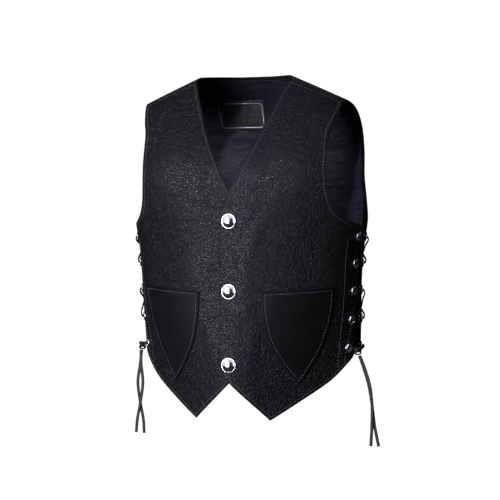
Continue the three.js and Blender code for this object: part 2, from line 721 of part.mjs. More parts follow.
// The lace of one side, from the knot through all ten eyelets and back to it. It crosses itself
// outside between rows 1 and 2 and rows 3 and 4, and inside between the others.
const FRONT_ROW = -(FRONT_EDGE + EYELET_INSET);
const BACK_ROW = BACK_EDGE + EYELET_INSET;
const LACE_OUT = 4.2;
const LACE_IN = -LEATHER - 3.8;
const BORE_TOP = 1.5;
const BORE_BOTTOM = -LEATHER - 1.2;
const CROSS_STEP = 1.3;
const TURN = 4.9;
const CROSSING = [{ share: 0.32, step: 0.6 }, { share: 0.5, step: 1 }, { share: 0.68, step: 0.6 }];
const KNOT_CLEAR = 0.6;
const KNOT = { across: -12.5, z: -336, lift: 5.6, wide: 7, high: 6.5, deep: 4.6 };
const ROUTE = [
  { half: 'front', row: 5 }, { half: 'back', row: 4 }, { half: 'front', row: 3 },
  { half: 'back', row: 2 }, { half: 'front', row: 1 }, { half: 'back', row: 1 },
  { half: 'front', row: 2 }, { half: 'back', row: 3 }, { half: 'front', row: 4 },
  { half: 'back', row: 5 },
];
function laceRoute(side) {
  const stops = ROUTE.map(({ half, row }) => ({
    across: half === 'front' ? FRONT_ROW : BACK_ROW,
    z: EYELET_HEIGHTS[row - 1],
  }));
  const knots = [];
  const push = (across, z, lift) => knots.push(besideSide(side, across, z, lift));
  push(KNOT.across - KNOT.wide - KNOT_CLEAR, KNOT.z + 1, KNOT.lift);
  push(stops[0].across + 0.8, stops[0].z, LACE_OUT);
  stops.forEach((stop, i) => {
    const goingIn = i % 2 === 0;
    push(stop.across, stop.z, goingIn ? BORE_TOP : BORE_BOTTOM);
    push(stop.across, stop.z, goingIn ? BORE_BOTTOM : BORE_TOP);
    if (i === stops.length - 1) return;
    const next = stops[i + 1];
    const lift = goingIn ? LACE_IN : LACE_OUT;
    const first = i < stops.length / 2;
    const step = i === 4 ? 0 : (first ? -1 : 1) * CROSS_STEP * Math.sign(lift);
    const span = Math.hypot(next.across - stop.across, next.z - stop.z);
    const spot = (t, up) => push(mix(stop.across, next.across, t), mix(stop.z, next.z, t), up);
    spot(TURN / span, lift);
    CROSSING.forEach((place) => spot(place.share, lift + step * place.step));
    spot(1 - TURN / span, lift);
  });
  const end = stops.at(-1);
  push(end.across - TURN, end.z, LACE_OUT);
  push(6, mix(end.z, KNOT.z, 0.5), LACE_OUT + 0.6);
  push(KNOT.across + KNOT.wide + KNOT_CLEAR, KNOT.z + 0.5, KNOT.lift);
  return knots;
}

// Knot: the bulk of the tied thong, with the turn that goes round it, in shares of the knot's size
const KNOT_TURN = { radius: 0.62, thick: 0.36, wide: 1.5, out: 0.55 };
function laceKnot(side) {
  const { point, normal } = besideSide(side, KNOT.across, KNOT.z, KNOT.lift);
  const bulk = new THREE.SphereGeometry(1, 10, 6);
  bulk.scale(KNOT.wide, KNOT.deep, KNOT.high);
  const turn = new THREE.TorusGeometry(KNOT.wide * KNOT_TURN.radius, KNOT.deep * KNOT_TURN.thick, 5, 10);
  turn.scale(1, 1, KNOT_TURN.wide);
  turn.rotateX(Math.PI / 2);
  turn.translate(0, -KNOT.deep * KNOT_TURN.out, 0);
  const joined = geometryOf(solidOf(bulk).add(solidOf(turn)));
  joined.applyQuaternion(new THREE.Quaternion().setFromUnitVectors(AHEAD, normal));
  joined.translate(point.x, point.y, point.z);
  return joined;
}

// The free ends hang from the knots: x and z of each, one behind the other
const TAIL_Y = { ahead: 14.75, behind: 16.45 };
const TAILS = {
  left_1: { y: TAIL_Y.ahead, route: [{ x: 149.3, z: -342.9 }, { x: 156, z: -360 },
    { x: 162, z: -380 }, { x: 165, z: -403 }, { x: 165, z: -430 }, { x: 163.6, z: -458 }] },
  left_2: { y: TAIL_Y.behind, route: [{ x: 148.5, z: -342.9 }, { x: 154.5, z: -360 },
    { x: 160.5, z: -380 }, { x: 164.5, z: -403 }, { x: 168, z: -431 }, { x: 173.4, z: -458 }] },
  right_1: { y: TAIL_Y.ahead, route: [{ x: -148.4, z: -342.9 }, { x: -148, z: -362 },
    { x: -145.6, z: -386 }, { x: -149.5, z: -415 }, { x: -153.5, z: -436 }, { x: -155, z: -453 }] },
  right_2: { y: TAIL_Y.behind, route: [{ x: -147.8, z: -342.9 }, { x: -150, z: -362 },
    { x: -153.3, z: -386 }, { x: -149.5, z: -415 }, { x: -145.5, z: -436 }, { x: -144.3, z: -454 }] },
};
const TAIL_STEPS = 12;
const TAIL_CORNER = 0.35;
function tail({ y, route }) {
  const path = new THREE.CatmullRomCurve3(route.map(({ x, z }) => new THREE.Vector3(x, y, z)));
  const [w, t, c] = [THONG.width / 2, THONG.thick / 2, TAIL_CORNER];
  const outline = new THREE.Shape([[t, w - c], [t - c, w], [c - t, w],
    [-t, w - c], [-t, c - w], [c - t, -w], [t - c, -w], [t, c - w]]
    .map(([a, b]) => new THREE.Vector2(a, b)));
  const geometry = new THREE.ExtrudeGeometry(outline, { steps: TAIL_STEPS, extrudePath: path });
  return geometryOf(solidOf(geometry));
}

for (const [word, side] of Object.entries(SIDES)) {
  add(`lace_${word}`, thong(laceRoute(side)), THONG_BLACK);
  add(`knot_${word}`, laceKnot(side), THONG_BLACK);
}
for (const [word, shape] of Object.entries(TAILS)) add(`tail_${word}`, tail(shape), THONG_BLACK);

// Label and the small tab under it, sewn on the lining below the back of the neck. Each of their
// points is found on the lining's inner face, straight behind its place in x and z.
const LABEL_MIDDLE = { x: -32, z: -24 };
const WOVEN_GAP = 0.45;
const LABEL_GRID = { columns: 8, rows: 5 };
const TAB_GRID = { columns: 2, rows: 1 };
const TAB_BELOW = 1;
const TAB_ASIDE = -2;
function onLining(x, z) {
  const inside = (a, b, c) => {
    const area = (b.x - a.x) * (c.z - a.z) - (c.x - a.x) * (b.z - a.z);
    const second = ((x - a.x) * (c.z - a.z) - (c.x - a.x) * (z - a.z)) / area;
    const third = ((b.x - a.x) * (z - a.z) - (x - a.x) * (b.z - a.z)) / area;
    if (Math.min(second, third, 1 - second - third) < -1e-9) return null;
    const normal = b.clone().sub(a).cross(c.clone().sub(a)).normalize();
    const y = a.y + second * (b.y - a.y) + third * (c.y - a.y);
    return { point: new THREE.Vector3(x, y, z), normal: normal.multiplyScalar(-Math.sign(normal.y)) };
  };
  for (let i = 0; i < liningInside.length - 1; i++) {
    for (let j = 0; j < liningInside[i].length - 1; j++) {
      const [a, b] = [liningInside[i][j], liningInside[i + 1][j]];
      const [c, d] = [liningInside[i + 1][j + 1], liningInside[i][j + 1]];
      const found = inside(a, b, c) ?? inside(a, c, d);
      if (found) return found;
    }
  }
  throw new Error('no lining there');
}

function woven({ width, height, thick }, { x, z }, { columns, rows }) {
  const skin = (rise) => Array.from({ length: columns + 1 }, (_, i) => (
    Array.from({ length: rows + 1 }, (__, j) => {
      const u = x + width * (i / columns - 0.5);
      const { point, normal } = onLining(u, z + height * (j / rows - 0.5));
      return point.addScaledVector(normal, rise);
    })));
  return wallBetween(skin(WOVEN_GAP + thick), skin(WOVEN_GAP));
}
add('neck_label', woven(LABEL, LABEL_MIDDLE, LABEL_GRID), WOVEN_BLACK);
const tabMiddle = {
  x: LABEL_MIDDLE.x + TAB_ASIDE,
  z: LABEL_MIDDLE.z - (LABEL.height + TAB.height) / 2 - TAB_BELOW,
};
add('neck_tab', woven(TAB, tabMiddle, TAB_GRID), WOVEN_BLACK);

export default vest;
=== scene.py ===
import math

import bpy
import numpy as np
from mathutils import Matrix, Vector


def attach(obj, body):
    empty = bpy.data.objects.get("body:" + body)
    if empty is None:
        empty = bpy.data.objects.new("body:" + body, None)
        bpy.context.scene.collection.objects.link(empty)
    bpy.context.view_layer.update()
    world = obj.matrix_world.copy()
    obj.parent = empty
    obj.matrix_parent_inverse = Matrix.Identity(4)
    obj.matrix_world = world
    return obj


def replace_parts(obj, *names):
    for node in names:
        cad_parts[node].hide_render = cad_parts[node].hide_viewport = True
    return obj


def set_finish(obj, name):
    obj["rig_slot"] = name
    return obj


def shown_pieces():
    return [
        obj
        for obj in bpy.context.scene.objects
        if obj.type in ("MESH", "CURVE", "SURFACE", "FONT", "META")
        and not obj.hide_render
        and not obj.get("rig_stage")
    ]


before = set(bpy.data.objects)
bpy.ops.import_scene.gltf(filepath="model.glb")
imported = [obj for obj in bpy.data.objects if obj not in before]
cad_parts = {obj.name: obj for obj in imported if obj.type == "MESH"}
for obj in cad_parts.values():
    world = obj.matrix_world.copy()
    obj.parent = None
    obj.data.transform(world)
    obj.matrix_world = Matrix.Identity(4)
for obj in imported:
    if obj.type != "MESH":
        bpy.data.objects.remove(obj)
for start_object in [bpy.data.objects.get(name) for name in ("Cube", "Light", "Camera")]:
    if start_object:
        bpy.data.objects.remove(start_object)
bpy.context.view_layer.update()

# Camera: it looks at the vest from the wearer's left front, level with the shoulders' middle, as a
# shop photograph of a bust does. Its shift lifts the frame as a view camera's back would.
camera_data = bpy.data.cameras.new("camera")
camera_data.sensor_width = 36
camera_data.lens = 100.8
camera_data.shift_y = -0.059
camera_data.clip_end = 20
camera = bpy.data.objects.new("camera", camera_data)
camera.location = (0.5076, -1.7440, -0.170)
camera.rotation_euler = (math.radians(90), 0, math.radians(16))
bpy.context.scene.collection.objects.link(camera)
bpy.context.scene.camera = camera

# Lace tails: the two free ends of each side's thong, cut square, hang limp from its knot. A tail is
# a flat strip of soft leather that turns a little as it falls. Millimetres, from the origin midway
# between the shoulders: x and z along each, and one y for the tails in front and one behind.
THONG_WIDE, THONG_THICK = 4.1, 1.4
TAIL_Y = {"1": 14.75, "2": 16.45}
TAILS = {
    "left_1": [(149.3, -342.9), (156, -360), (162, -380), (165, -403), (165, -430), (163.6, -458)],
    "left_2": [(148.5, -342.9), (154.5, -360), (160.5, -380), (164.5, -403), (168, -431),
               (173.4, -458)],
    "right_1": [(-148.4, -342.9), (-148, -362), (-145.6, -386), (-149.5, -415), (-153.5, -436),
                (-155, -453)],
    "right_2": [(-147.8, -342.9), (-150, -362), (-153.3, -386), (-149.5, -415), (-145.5, -436),
                (-144.3, -454)],
}


def unit(v):
    """Vectors over their own lengths."""
    return v / np.maximum(np.linalg.norm(v, axis=-1, keepdims=True), 1e-9)


def curve(points, spots, tightness=0.5):
    """Places along a smooth line through points, at shares of its length. Each span is a cubic whose
    end slopes weigh the neighbouring spans by their length to the power of tightness: 0.5 follows
    uneven points closely, and 0 suits even ones. A line in space runs on straight past its ends, and
    a line on a pattern stops there."""
    p = np.asarray(points, float)
    first, last = (2 * p[0] - p[1], 2 * p[-1] - p[-2]) if tightness else (p[0], p[-1])
    q = np.vstack([first, p, last])
    fine = np.linspace(0, len(p) - 1, 80 * (len(p) - 1) + 1)
    k = np.minimum(fine.astype(int), len(p) - 2)
    t = (fine - k)[:, None]
    a, b, c, d = q[k], q[k + 1], q[k + 2], q[k + 3]
    gap = [np.linalg.norm(m - n, axis=1)[:, None] ** tightness for m, n in ((b, a), (c, b), (d, c))]
    gap = [np.where(g < 1e-4, 1, g) for g in gap]
    start = ((b - a) / gap[0] - (c - a) / (gap[0] + gap[1]) + (c - b) / gap[1]) * gap[1]
    end = ((c - b) / gap[1] - (d - b) / (gap[1] + gap[2]) + (d - c) / gap[2]) * gap[1]
    line = b + start * t + (3 * c - 3 * b - 2 * start - end) * t**2 + (
        2 * b - 2 * c + start + end) * t**3
    run = np.append(0, np.cumsum(np.linalg.norm(np.diff(line, axis=0), axis=1)))
    return np.stack([np.interp(np.asarray(spots) * run[-1], run, column) for column in line.T], 1)


def object_of(name, points, faces, material):
    """An object at the origin from points in millimetres and lists of face arrays."""
    mesh = bpy.data.meshes.new(name)
    mesh.from_pydata((points * 0.001).tolist(), [], [f for group in faces for f in group.tolist()])
    mesh.polygons.foreach_set("use_smooth", np.full(len(mesh.polygons), True))
    mesh.materials.append(material)
    made = bpy.data.objects.new(name, mesh)
    bpy.context.scene.collection.objects.link(made)
    return made


def piece_of(name, points, faces, material, slot, rim=None):
    """An object that rides on the vest. Where it is given, rim keeps each point's distance from the
    piece's edge for the material."""
    piece = object_of(name, points, faces, material)
    if rim is not None:
        piece.data.attributes.new("rim", "FLOAT", "POINT").data.foreach_set("value", rim)
    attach(piece, "root")
    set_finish(piece, slot)
    return piece


def along(path, closed=False):
    """Unit directions of a line of points, from each point's two neighbours."""
    if closed:
        return unit(np.roll(path, -1, 0) - np.roll(path, 1, 0))
    return unit(np.gradient(path, axis=0))


def strip(path, width_way, wide, thick, closed=False):
    """Points and faces of a flat strip with rounded edges along a path. Its section is a
    superellipse, (a/half width)^4 + (b/half thickness)^2.6 = 1, in the plane across the path."""
    turn = np.linspace(0, 2 * np.pi, 13)[:-1] + np.pi / 12
    a = np.sign(np.cos(turn)) * np.abs(np.cos(turn)) ** 0.5 * wide / 2
    b = np.sign(np.sin(turn)) * np.abs(np.sin(turn)) ** 0.77 * thick / 2
    ahead = along(path, closed)
    w = unit(width_way - (width_way * ahead).sum(1, keepdims=True) * ahead)
    n = np.cross(ahead, w)
    points = path[:, None] + a[None, :, None] * w[:, None] + b[None, :, None] * n[:, None]
    rows, sides = points.shape[:2]
    i = np.arange(rows if closed else rows - 1)[:, None]
    j = np.arange(sides)[None, :]
    near, far = i * sides, ((i + 1) % rows) * sides
    quads = np.stack([near + j, near + (j + 1) % sides, far + (j + 1) % sides, far + j], -1)
    faces = [quads.reshape(-1, 4)]
    if not closed:
        faces += [np.arange(sides)[None, ::-1], (rows - 1) * sides + np.arange(sides)[None]]
    return points.reshape(-1, 3), faces


def node_maker(name):
    """A new material and a function that adds a node, sets its sockets, and wires what it is given."""
    material = bpy.data.materials.new(name)
    material.use_nodes = True
    tree = material.node_tree
    tree.nodes.clear()

    def node(kind, settings=None, **sockets):
        """A node with its settings and sockets. i and a number is a socket by its place."""
        made = tree.nodes.new("ShaderNode" + kind)
        for key, value in (settings or {}).items():
            setattr(made, key, value)
        for key, value in sockets.items():
            socket = made.inputs[int(key[1:])] if key[0] == "i" and key[1:].isdigit() else (
                made.inputs[key.replace("_", " ")])
            if isinstance(value, bpy.types.NodeSocket):
                tree.links.new(value, socket)
            else:
                socket.default_value = value
        return made

    return material, node


def finished(node, **sockets):
    """The closing shader of a material."""
    shader = node("BsdfPrincipled", None, **sockets)
    node("OutputMaterial", None, Surface=shader.outputs["BSDF"])


def ramp(node, value, low, high, out_low, out_high):
    """A straight change from one number to another while value goes from low to high."""
    made = node("MapRange", {"clamp": True}, Value=value, From_Min=low, From_Max=high,
                To_Min=out_low, To_Max=out_high)
    return made.outputs["Result"]


def tone(node, share, low, high):
    """A colour between two, by a share from 0 to 1."""
    made = node("Mix", {"data_type": "RGBA"}, i0=share, i6=(*low, 1), i7=(*high, 1))
    return made.outputs[2]


def thong_leather():
    """Soft matt black thong: fine creases across it, a little lighter where it has been bent."""
    material, node = node_maker("thong_leather")
    where = node("TexCoord").outputs["Object"]
    crease = node("TexNoise", None, Vector=where, Scale=900, Detail=4).outputs["Fac"]
    broad = node("TexNoise", None, Vector=where, Scale=90, Detail=2).outputs["Fac"]
    bump = node("Bump", None, Strength=0.5, Distance=0.0002, Height=crease)
    finished(node, Base_Color=tone(node, broad, (0.004, 0.004, 0.0045), (0.011, 0.0105, 0.011)),
             Roughness=ramp(node, crease, 0.3, 0.7, 0.5, 0.68), Normal=bump.outputs["Normal"])
    return material


THONG = thong_leather()
for word, route in TAILS.items():
    level = [(x, TAIL_Y[word[-1]], z) for x, z in route]
    fall = curve(level, np.linspace(0, 1, 90))
    way = np.cross(along(fall), (0, 1, 0))
    points, faces = strip(fall, way, THONG_WIDE, THONG_THICK)
    tail = piece_of(f"lace_end_{word}", points, faces, THONG, "thong")
    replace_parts(tail, f"tail_{word}")

# Fronts: two pebbled cowhide panels, built 2 mm thick, with edges turned under and topstitched.
# The wearer's left one laps over the right one and snaps to it. Each runs from the shoulder seam
# down to a point, with the armhole and a laced strip at its side.
SIDES = (("left", 1), ("right", -1))
# Millimetres that a whole share across stands for where a line is drawn on a pattern
PATTERN_WIDE = 190
# Rows of the form the vest is cut for: z, half width, front power, back depth, back power
FORM = np.array([
    (-421, 146, 1.27, 90, 2.2),
    (-377, 146, 1.30, 90, 2.2),
    (-350, 146, 1.38, 89, 2.2),
    (-322, 146, 1.52, 87, 2.2),
    (-288, 147, 1.75, 85, 2.2),
    (-259, 147, 1.95, 84, 2.2),
    (-215, 149, 2.10, 85, 2.25),
    (-190, 152, 2.15, 87, 2.3),
    (-174, 155, 2.22, 88, 2.35),
    (-151, 155, 2.55, 89, 2.4),
    (-132, 154, 3.10, 90, 2.5),
    (-110, 153, 3.40, 90, 2.5),
    (-90, 153, 3.40, 90, 2.5),
])
CHEST_Z, CENTRE_Y, FRONT_DEPTH, NOSE = -110, 30, 99, 10
RIDGE_TOP, RIDGE_SLOPE, RIDGE_ROUND = 35.5, 0.4746, 30
LOW_UP, HIGH_UP = -330, 240
# Power of the curve over the shoulder on either side of its ridge: at the neck, and the change to
# the arm
SHOULDER = {"front": (1.2, 0.3), "back": (2.4, 0.0)}
# The form is smoothed twice along its height, by this many rows, up to this height along the cloth
SMOOTHING = ((3, 400), (9, 60))
SHARES = np.linspace(0, 1, 261)


def form_column(k, z):
    """Column k of the form's rows at heights z: a cubic between rows, with each row's slope taken
    from its two neighbours."""
    rows, values = FORM[:, 0], FORM[:, k]
    padded_rows = np.concatenate([rows[:1], rows, rows[-1:]])
    padded_values = np.concatenate([values[:1], values, values[-1:]])
    slope = (padded_values[2:] - padded_values[:-2]) / (padded_rows[2:] - padded_rows[:-2])
    z = np.clip(z, rows[0], rows[-1])
    i = np.clip(np.searchsorted(rows, z, side="right") - 1, 0, len(rows) - 2)
    span = rows[i + 1] - rows[i]
    t = (z - rows[i]) / span
    even = values[i] + (values[i + 1] - values[i]) * t * t * (3 - 2 * t)
    return even + span * t * (1 - t) * ((1 - t) * slope[i] - t * slope[i + 1])


def bell(reach):
    """Weights exp(-(k/reach)^2 / 2) for neighbours up to three reaches away, which add up to 1."""
    weights = np.exp(-(np.arange(-3 * reach, 3 * reach + 1) / reach) ** 2 / 2)
    return weights / weights.sum()


def running(a, b):
    """Running length of each row's line."""
    step = np.hypot(np.diff(a, axis=1), np.diff(b, axis=1))
    return np.concatenate([np.zeros((len(a), 1)), np.cumsum(step, axis=1)], axis=1)


def form_sheet(half):
    """Points of half the form on a grid of height along the cloth by share of the way round.
    Below the chest a level row is the superellipse x = sin^(2/power), y = cos^(2/power), with a
    round nose at the centre line. Above it each column closes over the shoulder ridge."""
    angle = np.linspace(0, np.pi / 2, 361)[None]
    z = np.arange(CHEST_Z + LOW_UP, CHEST_Z + 1, 1.0)
    power = form_column(2 if half == "front" else 4, z)[:, None]
    depth = -FRONT_DEPTH if half == "front" else form_column(3, z)[:, None]
    reach = np.hypot(form_column(1, z), NOSE)[:, None] - NOSE
    out = NOSE + reach * np.sin(angle) ** (2 / power)
    x = np.sqrt(np.maximum(0, out**2 - NOSE**2))
    y = CENTRE_Y + depth * np.maximum(0, np.cos(angle)) ** (2 / power)
    run = running(x, y)
    girth = run[:, -1]
    low = np.stack([[np.interp(SHARES * length, r, row) for length, r, row in zip(girth, run, a)]
                    for a in (x, y)] + [np.repeat(z[:, None], len(SHARES), 1)], -1)
    chest_x = low[-1, :, 0]
    lines = []
    for side in ("front", "back"):
        start = CENTRE_Y - FRONT_DEPTH if side == "front" else CENTRE_Y + form_column(3, CHEST_Z)
        chest_power = form_column(2 if side == "front" else 4, CHEST_Z)
        chest_reach = np.hypot(form_column(1, CHEST_Z), NOSE) - NOSE
        sine = np.clip((np.hypot(chest_x, NOSE) - NOSE) / chest_reach, 0, 1) ** (chest_power / 2)
        lean_at = CENTRE_Y + (start - CENTRE_Y) * (1 - sine**2) ** (1 / chest_power)
        arm = np.clip((chest_x - 50) / 75, 0, 1)
        shoulder = SHOULDER[side][0] + SHOULDER[side][1] * arm
        t = np.linspace(0, np.pi / 2, 121)[None]
        top = RIDGE_TOP - RIDGE_SLOPE * (np.hypot(chest_x, RIDGE_ROUND) - RIDGE_ROUND)
        rise = np.sin(t) ** (2 / shoulder[:, None])
        lean = np.maximum(0, np.cos(t)) ** (2 / shoulder[:, None])
        lines.append((lean_at[:, None] * lean, CHEST_Z + (top - CHEST_Z)[:, None] * rise))
    first, second = lines if half == "front" else lines[::-1]
    y = np.hstack([first[0], second[0][:, -2::-1]])
    z = np.hstack([first[1], second[1][:, -2::-1]])
    run = running(y, z)
    ups = np.arange(1, HIGH_UP + 1.0)
    high = np.stack([np.repeat(chest_x[None], len(ups), 0)] + [
        np.stack([np.interp(ups, r, row) for r, row in zip(run, a)], 1) for a in (y, z)], -1)
    sheet = np.concatenate([low, high])
    rows = np.arange(len(sheet)) + LOW_UP
    for reach, up_to in SMOOTHING:
        span = 3 * reach
        core = sum(w * sheet[k:len(sheet) - 2 * span + k] for k, w in enumerate(bell(reach)))
        share = np.clip((up_to + 40 - rows[span:-span]) / 40, 0, 1)[:, None, None]
        sheet[span:-span] += (core - sheet[span:-span]) * share
    return sheet, girth, run[:, first[0].shape[1] - 1]


SHEETS = {half: form_sheet(half) for half in ("front", "back")}


def form(half, across, up):
    """Points of the form, between the four nearest of its sheet, mirrored where across is below 0."""
    sheet = SHEETS[half][0]
    r = np.clip(np.asarray(up, float) - LOW_UP, 0, len(sheet) - 1.001)
    c = np.clip(np.abs(across) * (len(SHARES) - 1), 0, len(SHARES) - 1.001)
    i, j = r.astype(int), c.astype(int)
    s, t = (r - i)[..., None], (c - j)[..., None]
    p = (1 - s) * ((1 - t) * sheet[i, j] + t * sheet[i, j + 1]) + s * (
        (1 - t) * sheet[i + 1, j] + t * sheet[i + 1, j + 1])
    p[..., 0] *= np.where(np.asarray(across) < 0, -1, 1)
    return p


def outward(half, across, up):
    """Unit directions out of the form: the cross product of a small step across and one up."""
    step_across = form(half, across + 0.008, up) - form(half, across - 0.008, up)
    step_up = form(half, across, up + 1.5) - form(half, across, up - 1.5)
    way = unit(np.cross(step_across, step_up))
    return way if half == "front" else -way


def lifted(half, across, up, lift):
    """Points at a height over the form."""
    return form(half, across, up) + outward(half, across, up) * np.asarray(lift)[..., None]


def at_x(half, x, z):
    """(share across, up) of the places with those x and z."""
    sheet = SHEETS[half][0]
    row = int(min(z, CHEST_Z) - CHEST_Z - LOW_UP)
    part = min(z, CHEST_Z) - CHEST_Z - LOW_UP - row
    xs = (1 - part) * sheet[row, :, 0] + part * sheet[min(row + 1, -LOW_UP), :, 0]
    share = np.interp(abs(x), xs, SHARES)
    if z <= CHEST_Z:
        return math.copysign(share, x), z - CHEST_Z
    heights = form(half, np.full(200, share), np.arange(200.0))[:, 2]
    top = int(heights.argmax())
    return math.copysign(share, x), np.interp(z, heights[:top + 1], np.arange(top + 1.0))


def at_side(half, from_side, z):
    """(share across, up) of a place so many millimetres from the side line."""
    girth = SHEETS[half][1]
    share = 1 - from_side / np.interp(min(z, CHEST_Z) - CHEST_Z, np.arange(LOW_UP, 1.0), girth)
    if z <= CHEST_Z:
        return share, z - CHEST_Z
    return at_x(half, np.interp(share, SHARES, SHEETS[half][0][-LOW_UP, :, 0]), z)


def at_shoulder(half, x, ahead):
    """(share across, up) of a place on the shoulder, so far in front of the ridge."""
    share = np.interp(x, SHEETS[half][0][-LOW_UP, :, 0], SHARES)
    ridge = np.interp(share, SHARES, SHEETS[half][2])
    return share, ridge - ahead if half == "front" else ridge + ahead


def edge(stretches):
    """A pattern piece's edge as (shares along, pattern points): stretches of smooth line that meet in
    corners. Each stretch has its points, its weight in steps, and how its steps crowd to its end."""
    total = sum(weight for _, weight, _ in stretches)
    shares, places, start = [], [], 0
    for points, weight, crowd in stretches:
        t = np.linspace(0, 1, 120)
        scaled = curve(np.array(points) * (PATTERN_WIDE, 1), 1 - (1 - t) ** crowd, tightness=0)
        shares.append((start + weight * t) / total)
        places.append(scaled / (PATTERN_WIDE, 1))
        start += weight
    return np.concatenate(shares), np.concatenate(places)


def on_edge(line, share):
    """Pattern points of an edge at shares along it."""
    return np.stack([np.interp(share, line[0], column) for column in line[1].T], -1)


def pattern(edges, u, v):
    """Pattern points blended from four edges: bottom to top by v, plus the bow of the left edge
    times (1-u)^2 and of the right edge times u^2."""
    bottom, top, left, right = edges
    u, v = np.broadcast_arrays(u, v)

    def bow(line):
        """How far a line of points bends off the straight one between its ends."""
        ends = on_edge(line, np.array([0.0, 1.0]))
        return on_edge(line, v) - (ends[0] + (ends[1] - ends[0]) * v[..., None])

    low, high = on_edge(bottom, u), on_edge(top, u)
    return low + (high - low) * v[..., None] + (1 - u[..., None]) ** 2 * bow(left) + (
        u[..., None] ** 2 * bow(right))


def inset_share(half, edges, side, along_it, distance):
    """How far in u or v a place is that lies so many millimetres inside an edge, measured square to
    the edge: distance over the length of a small step in, less its part along the edge."""
    a = np.clip(along_it, 0.004, 0.996)
    rim = {"left": 0.0, "bottom": 0.0, "right": 1.0, "top": 1.0}[side]
    small, smaller = 0.02, 0.003
    inward = small if rim == 0 else -small

    def spot(across_edge, down_edge):
        """The form's point so far in from the edge and so far along it, as shares."""
        pair = (across_edge, down_edge) if side in ("left", "right") else (down_edge, across_edge)
        q = pattern(edges, *pair)
        return form(half, q[..., 0], q[..., 1])

    step_in = (spot(rim + inward, a) - spot(rim, a)) / small
    down = unit(spot(rim, a + smaller) - spot(rim, a - smaller))
    square = np.linalg.norm(step_in - (step_in * down).sum(-1, keepdims=True) * down, axis=-1)
    return np.clip(distance / np.maximum(square, 30), 0, 0.2)


# Distances from an edge of the rows that shape it, and how far each lies above or below the face:
# the turned edge is round, and its topstitching sinks in a furrow 4 mm inside
EDGE_IN, FURROW = 4.0, -0.42
TURN_ROWS = np.array([(0, -0.75), (0.25, -0.3), (0.7, -0.06), (1.5, 0.06), (2.7, 0.0), (3.4, -0.16),
                      (EDGE_IN, FURROW), (4.6, -0.16), (5.6, 0.03), (7.5, 0.0)])
# A distance that counts as far from every edge, and about how many millimetres a panel measures
FAR, PANEL_SPAN = 99.0, 400


def panel_grid(half, edges, corners_u, corners_v, count_u, count_v):
    """Pattern points of a panel and each point's distance from the nearest edge. Rows near an edge
    keep their distance from it, and between them rows are even, with one on each corner."""
    depths = TURN_ROWS[:, 0]

    def spread(corners, count, low, high):
        """Even lines from low to 1 - high, with one on each corner."""
        marks = [depths[-1] / PANEL_SPAN] + corners + [1 - depths[-1] / PANEL_SPAN]
        parts = []
        for k in range(len(marks) - 1):
            steps = max(2, round(count * (marks[k + 1] - marks[k])))
            start = low if k == 0 else np.full_like(low, marks[k])
            stop = 1 - high if k == len(marks) - 2 else np.full_like(low, marks[k + 1])
            t = np.linspace(0, 1, steps + 1)[:-1, None]
            parts.append(start + (stop - start) * t)
        return np.concatenate(parts)

    base_u, base_v = np.linspace(0, 1, 121), np.linspace(0, 1, 241)

    def lines(sides, base, corners, count):
        """Lines between two facing edges: rows by the first, even ones, and rows by the second."""
        low = np.stack([inset_share(half, edges, sides[0], base, d) for d in depths])
        high = np.stack([inset_share(half, edges, sides[1], base, d) for d in depths])
        return np.concatenate([low[:-1], spread(corners, count, low[-1], high[-1]),
                               1 - high[::-1]])

    u_lines = lines(("left", "right"), base_v, corners_u, count_u)
    v_lines = lines(("bottom", "top"), base_u, corners_v, count_v)
    rough_u, rough_v = u_lines.mean(1), v_lines.mean(1)
    u = np.stack([np.interp(rough_v, base_v, line) for line in u_lines])
    v = np.stack([np.interp(rough_u, base_u, line) for line in v_lines], 1)
    edge_u = np.full(len(u_lines), FAR)
    edge_v = np.full(len(v_lines), FAR)
    for distances in (edge_u, edge_v):
        distances[:len(depths)] = depths
        distances[-len(depths):] = depths[::-1]
    q = pattern(edges, u, v)
    return q[..., 0], q[..., 1], np.minimum(edge_u[:, None], edge_v[None])


def turned_edge(distance):
    """Height of a turned and stitched edge over the face, by distance from the edge."""
    return np.interp(distance, TURN_ROWS[:, 0], TURN_ROWS[:, 1])


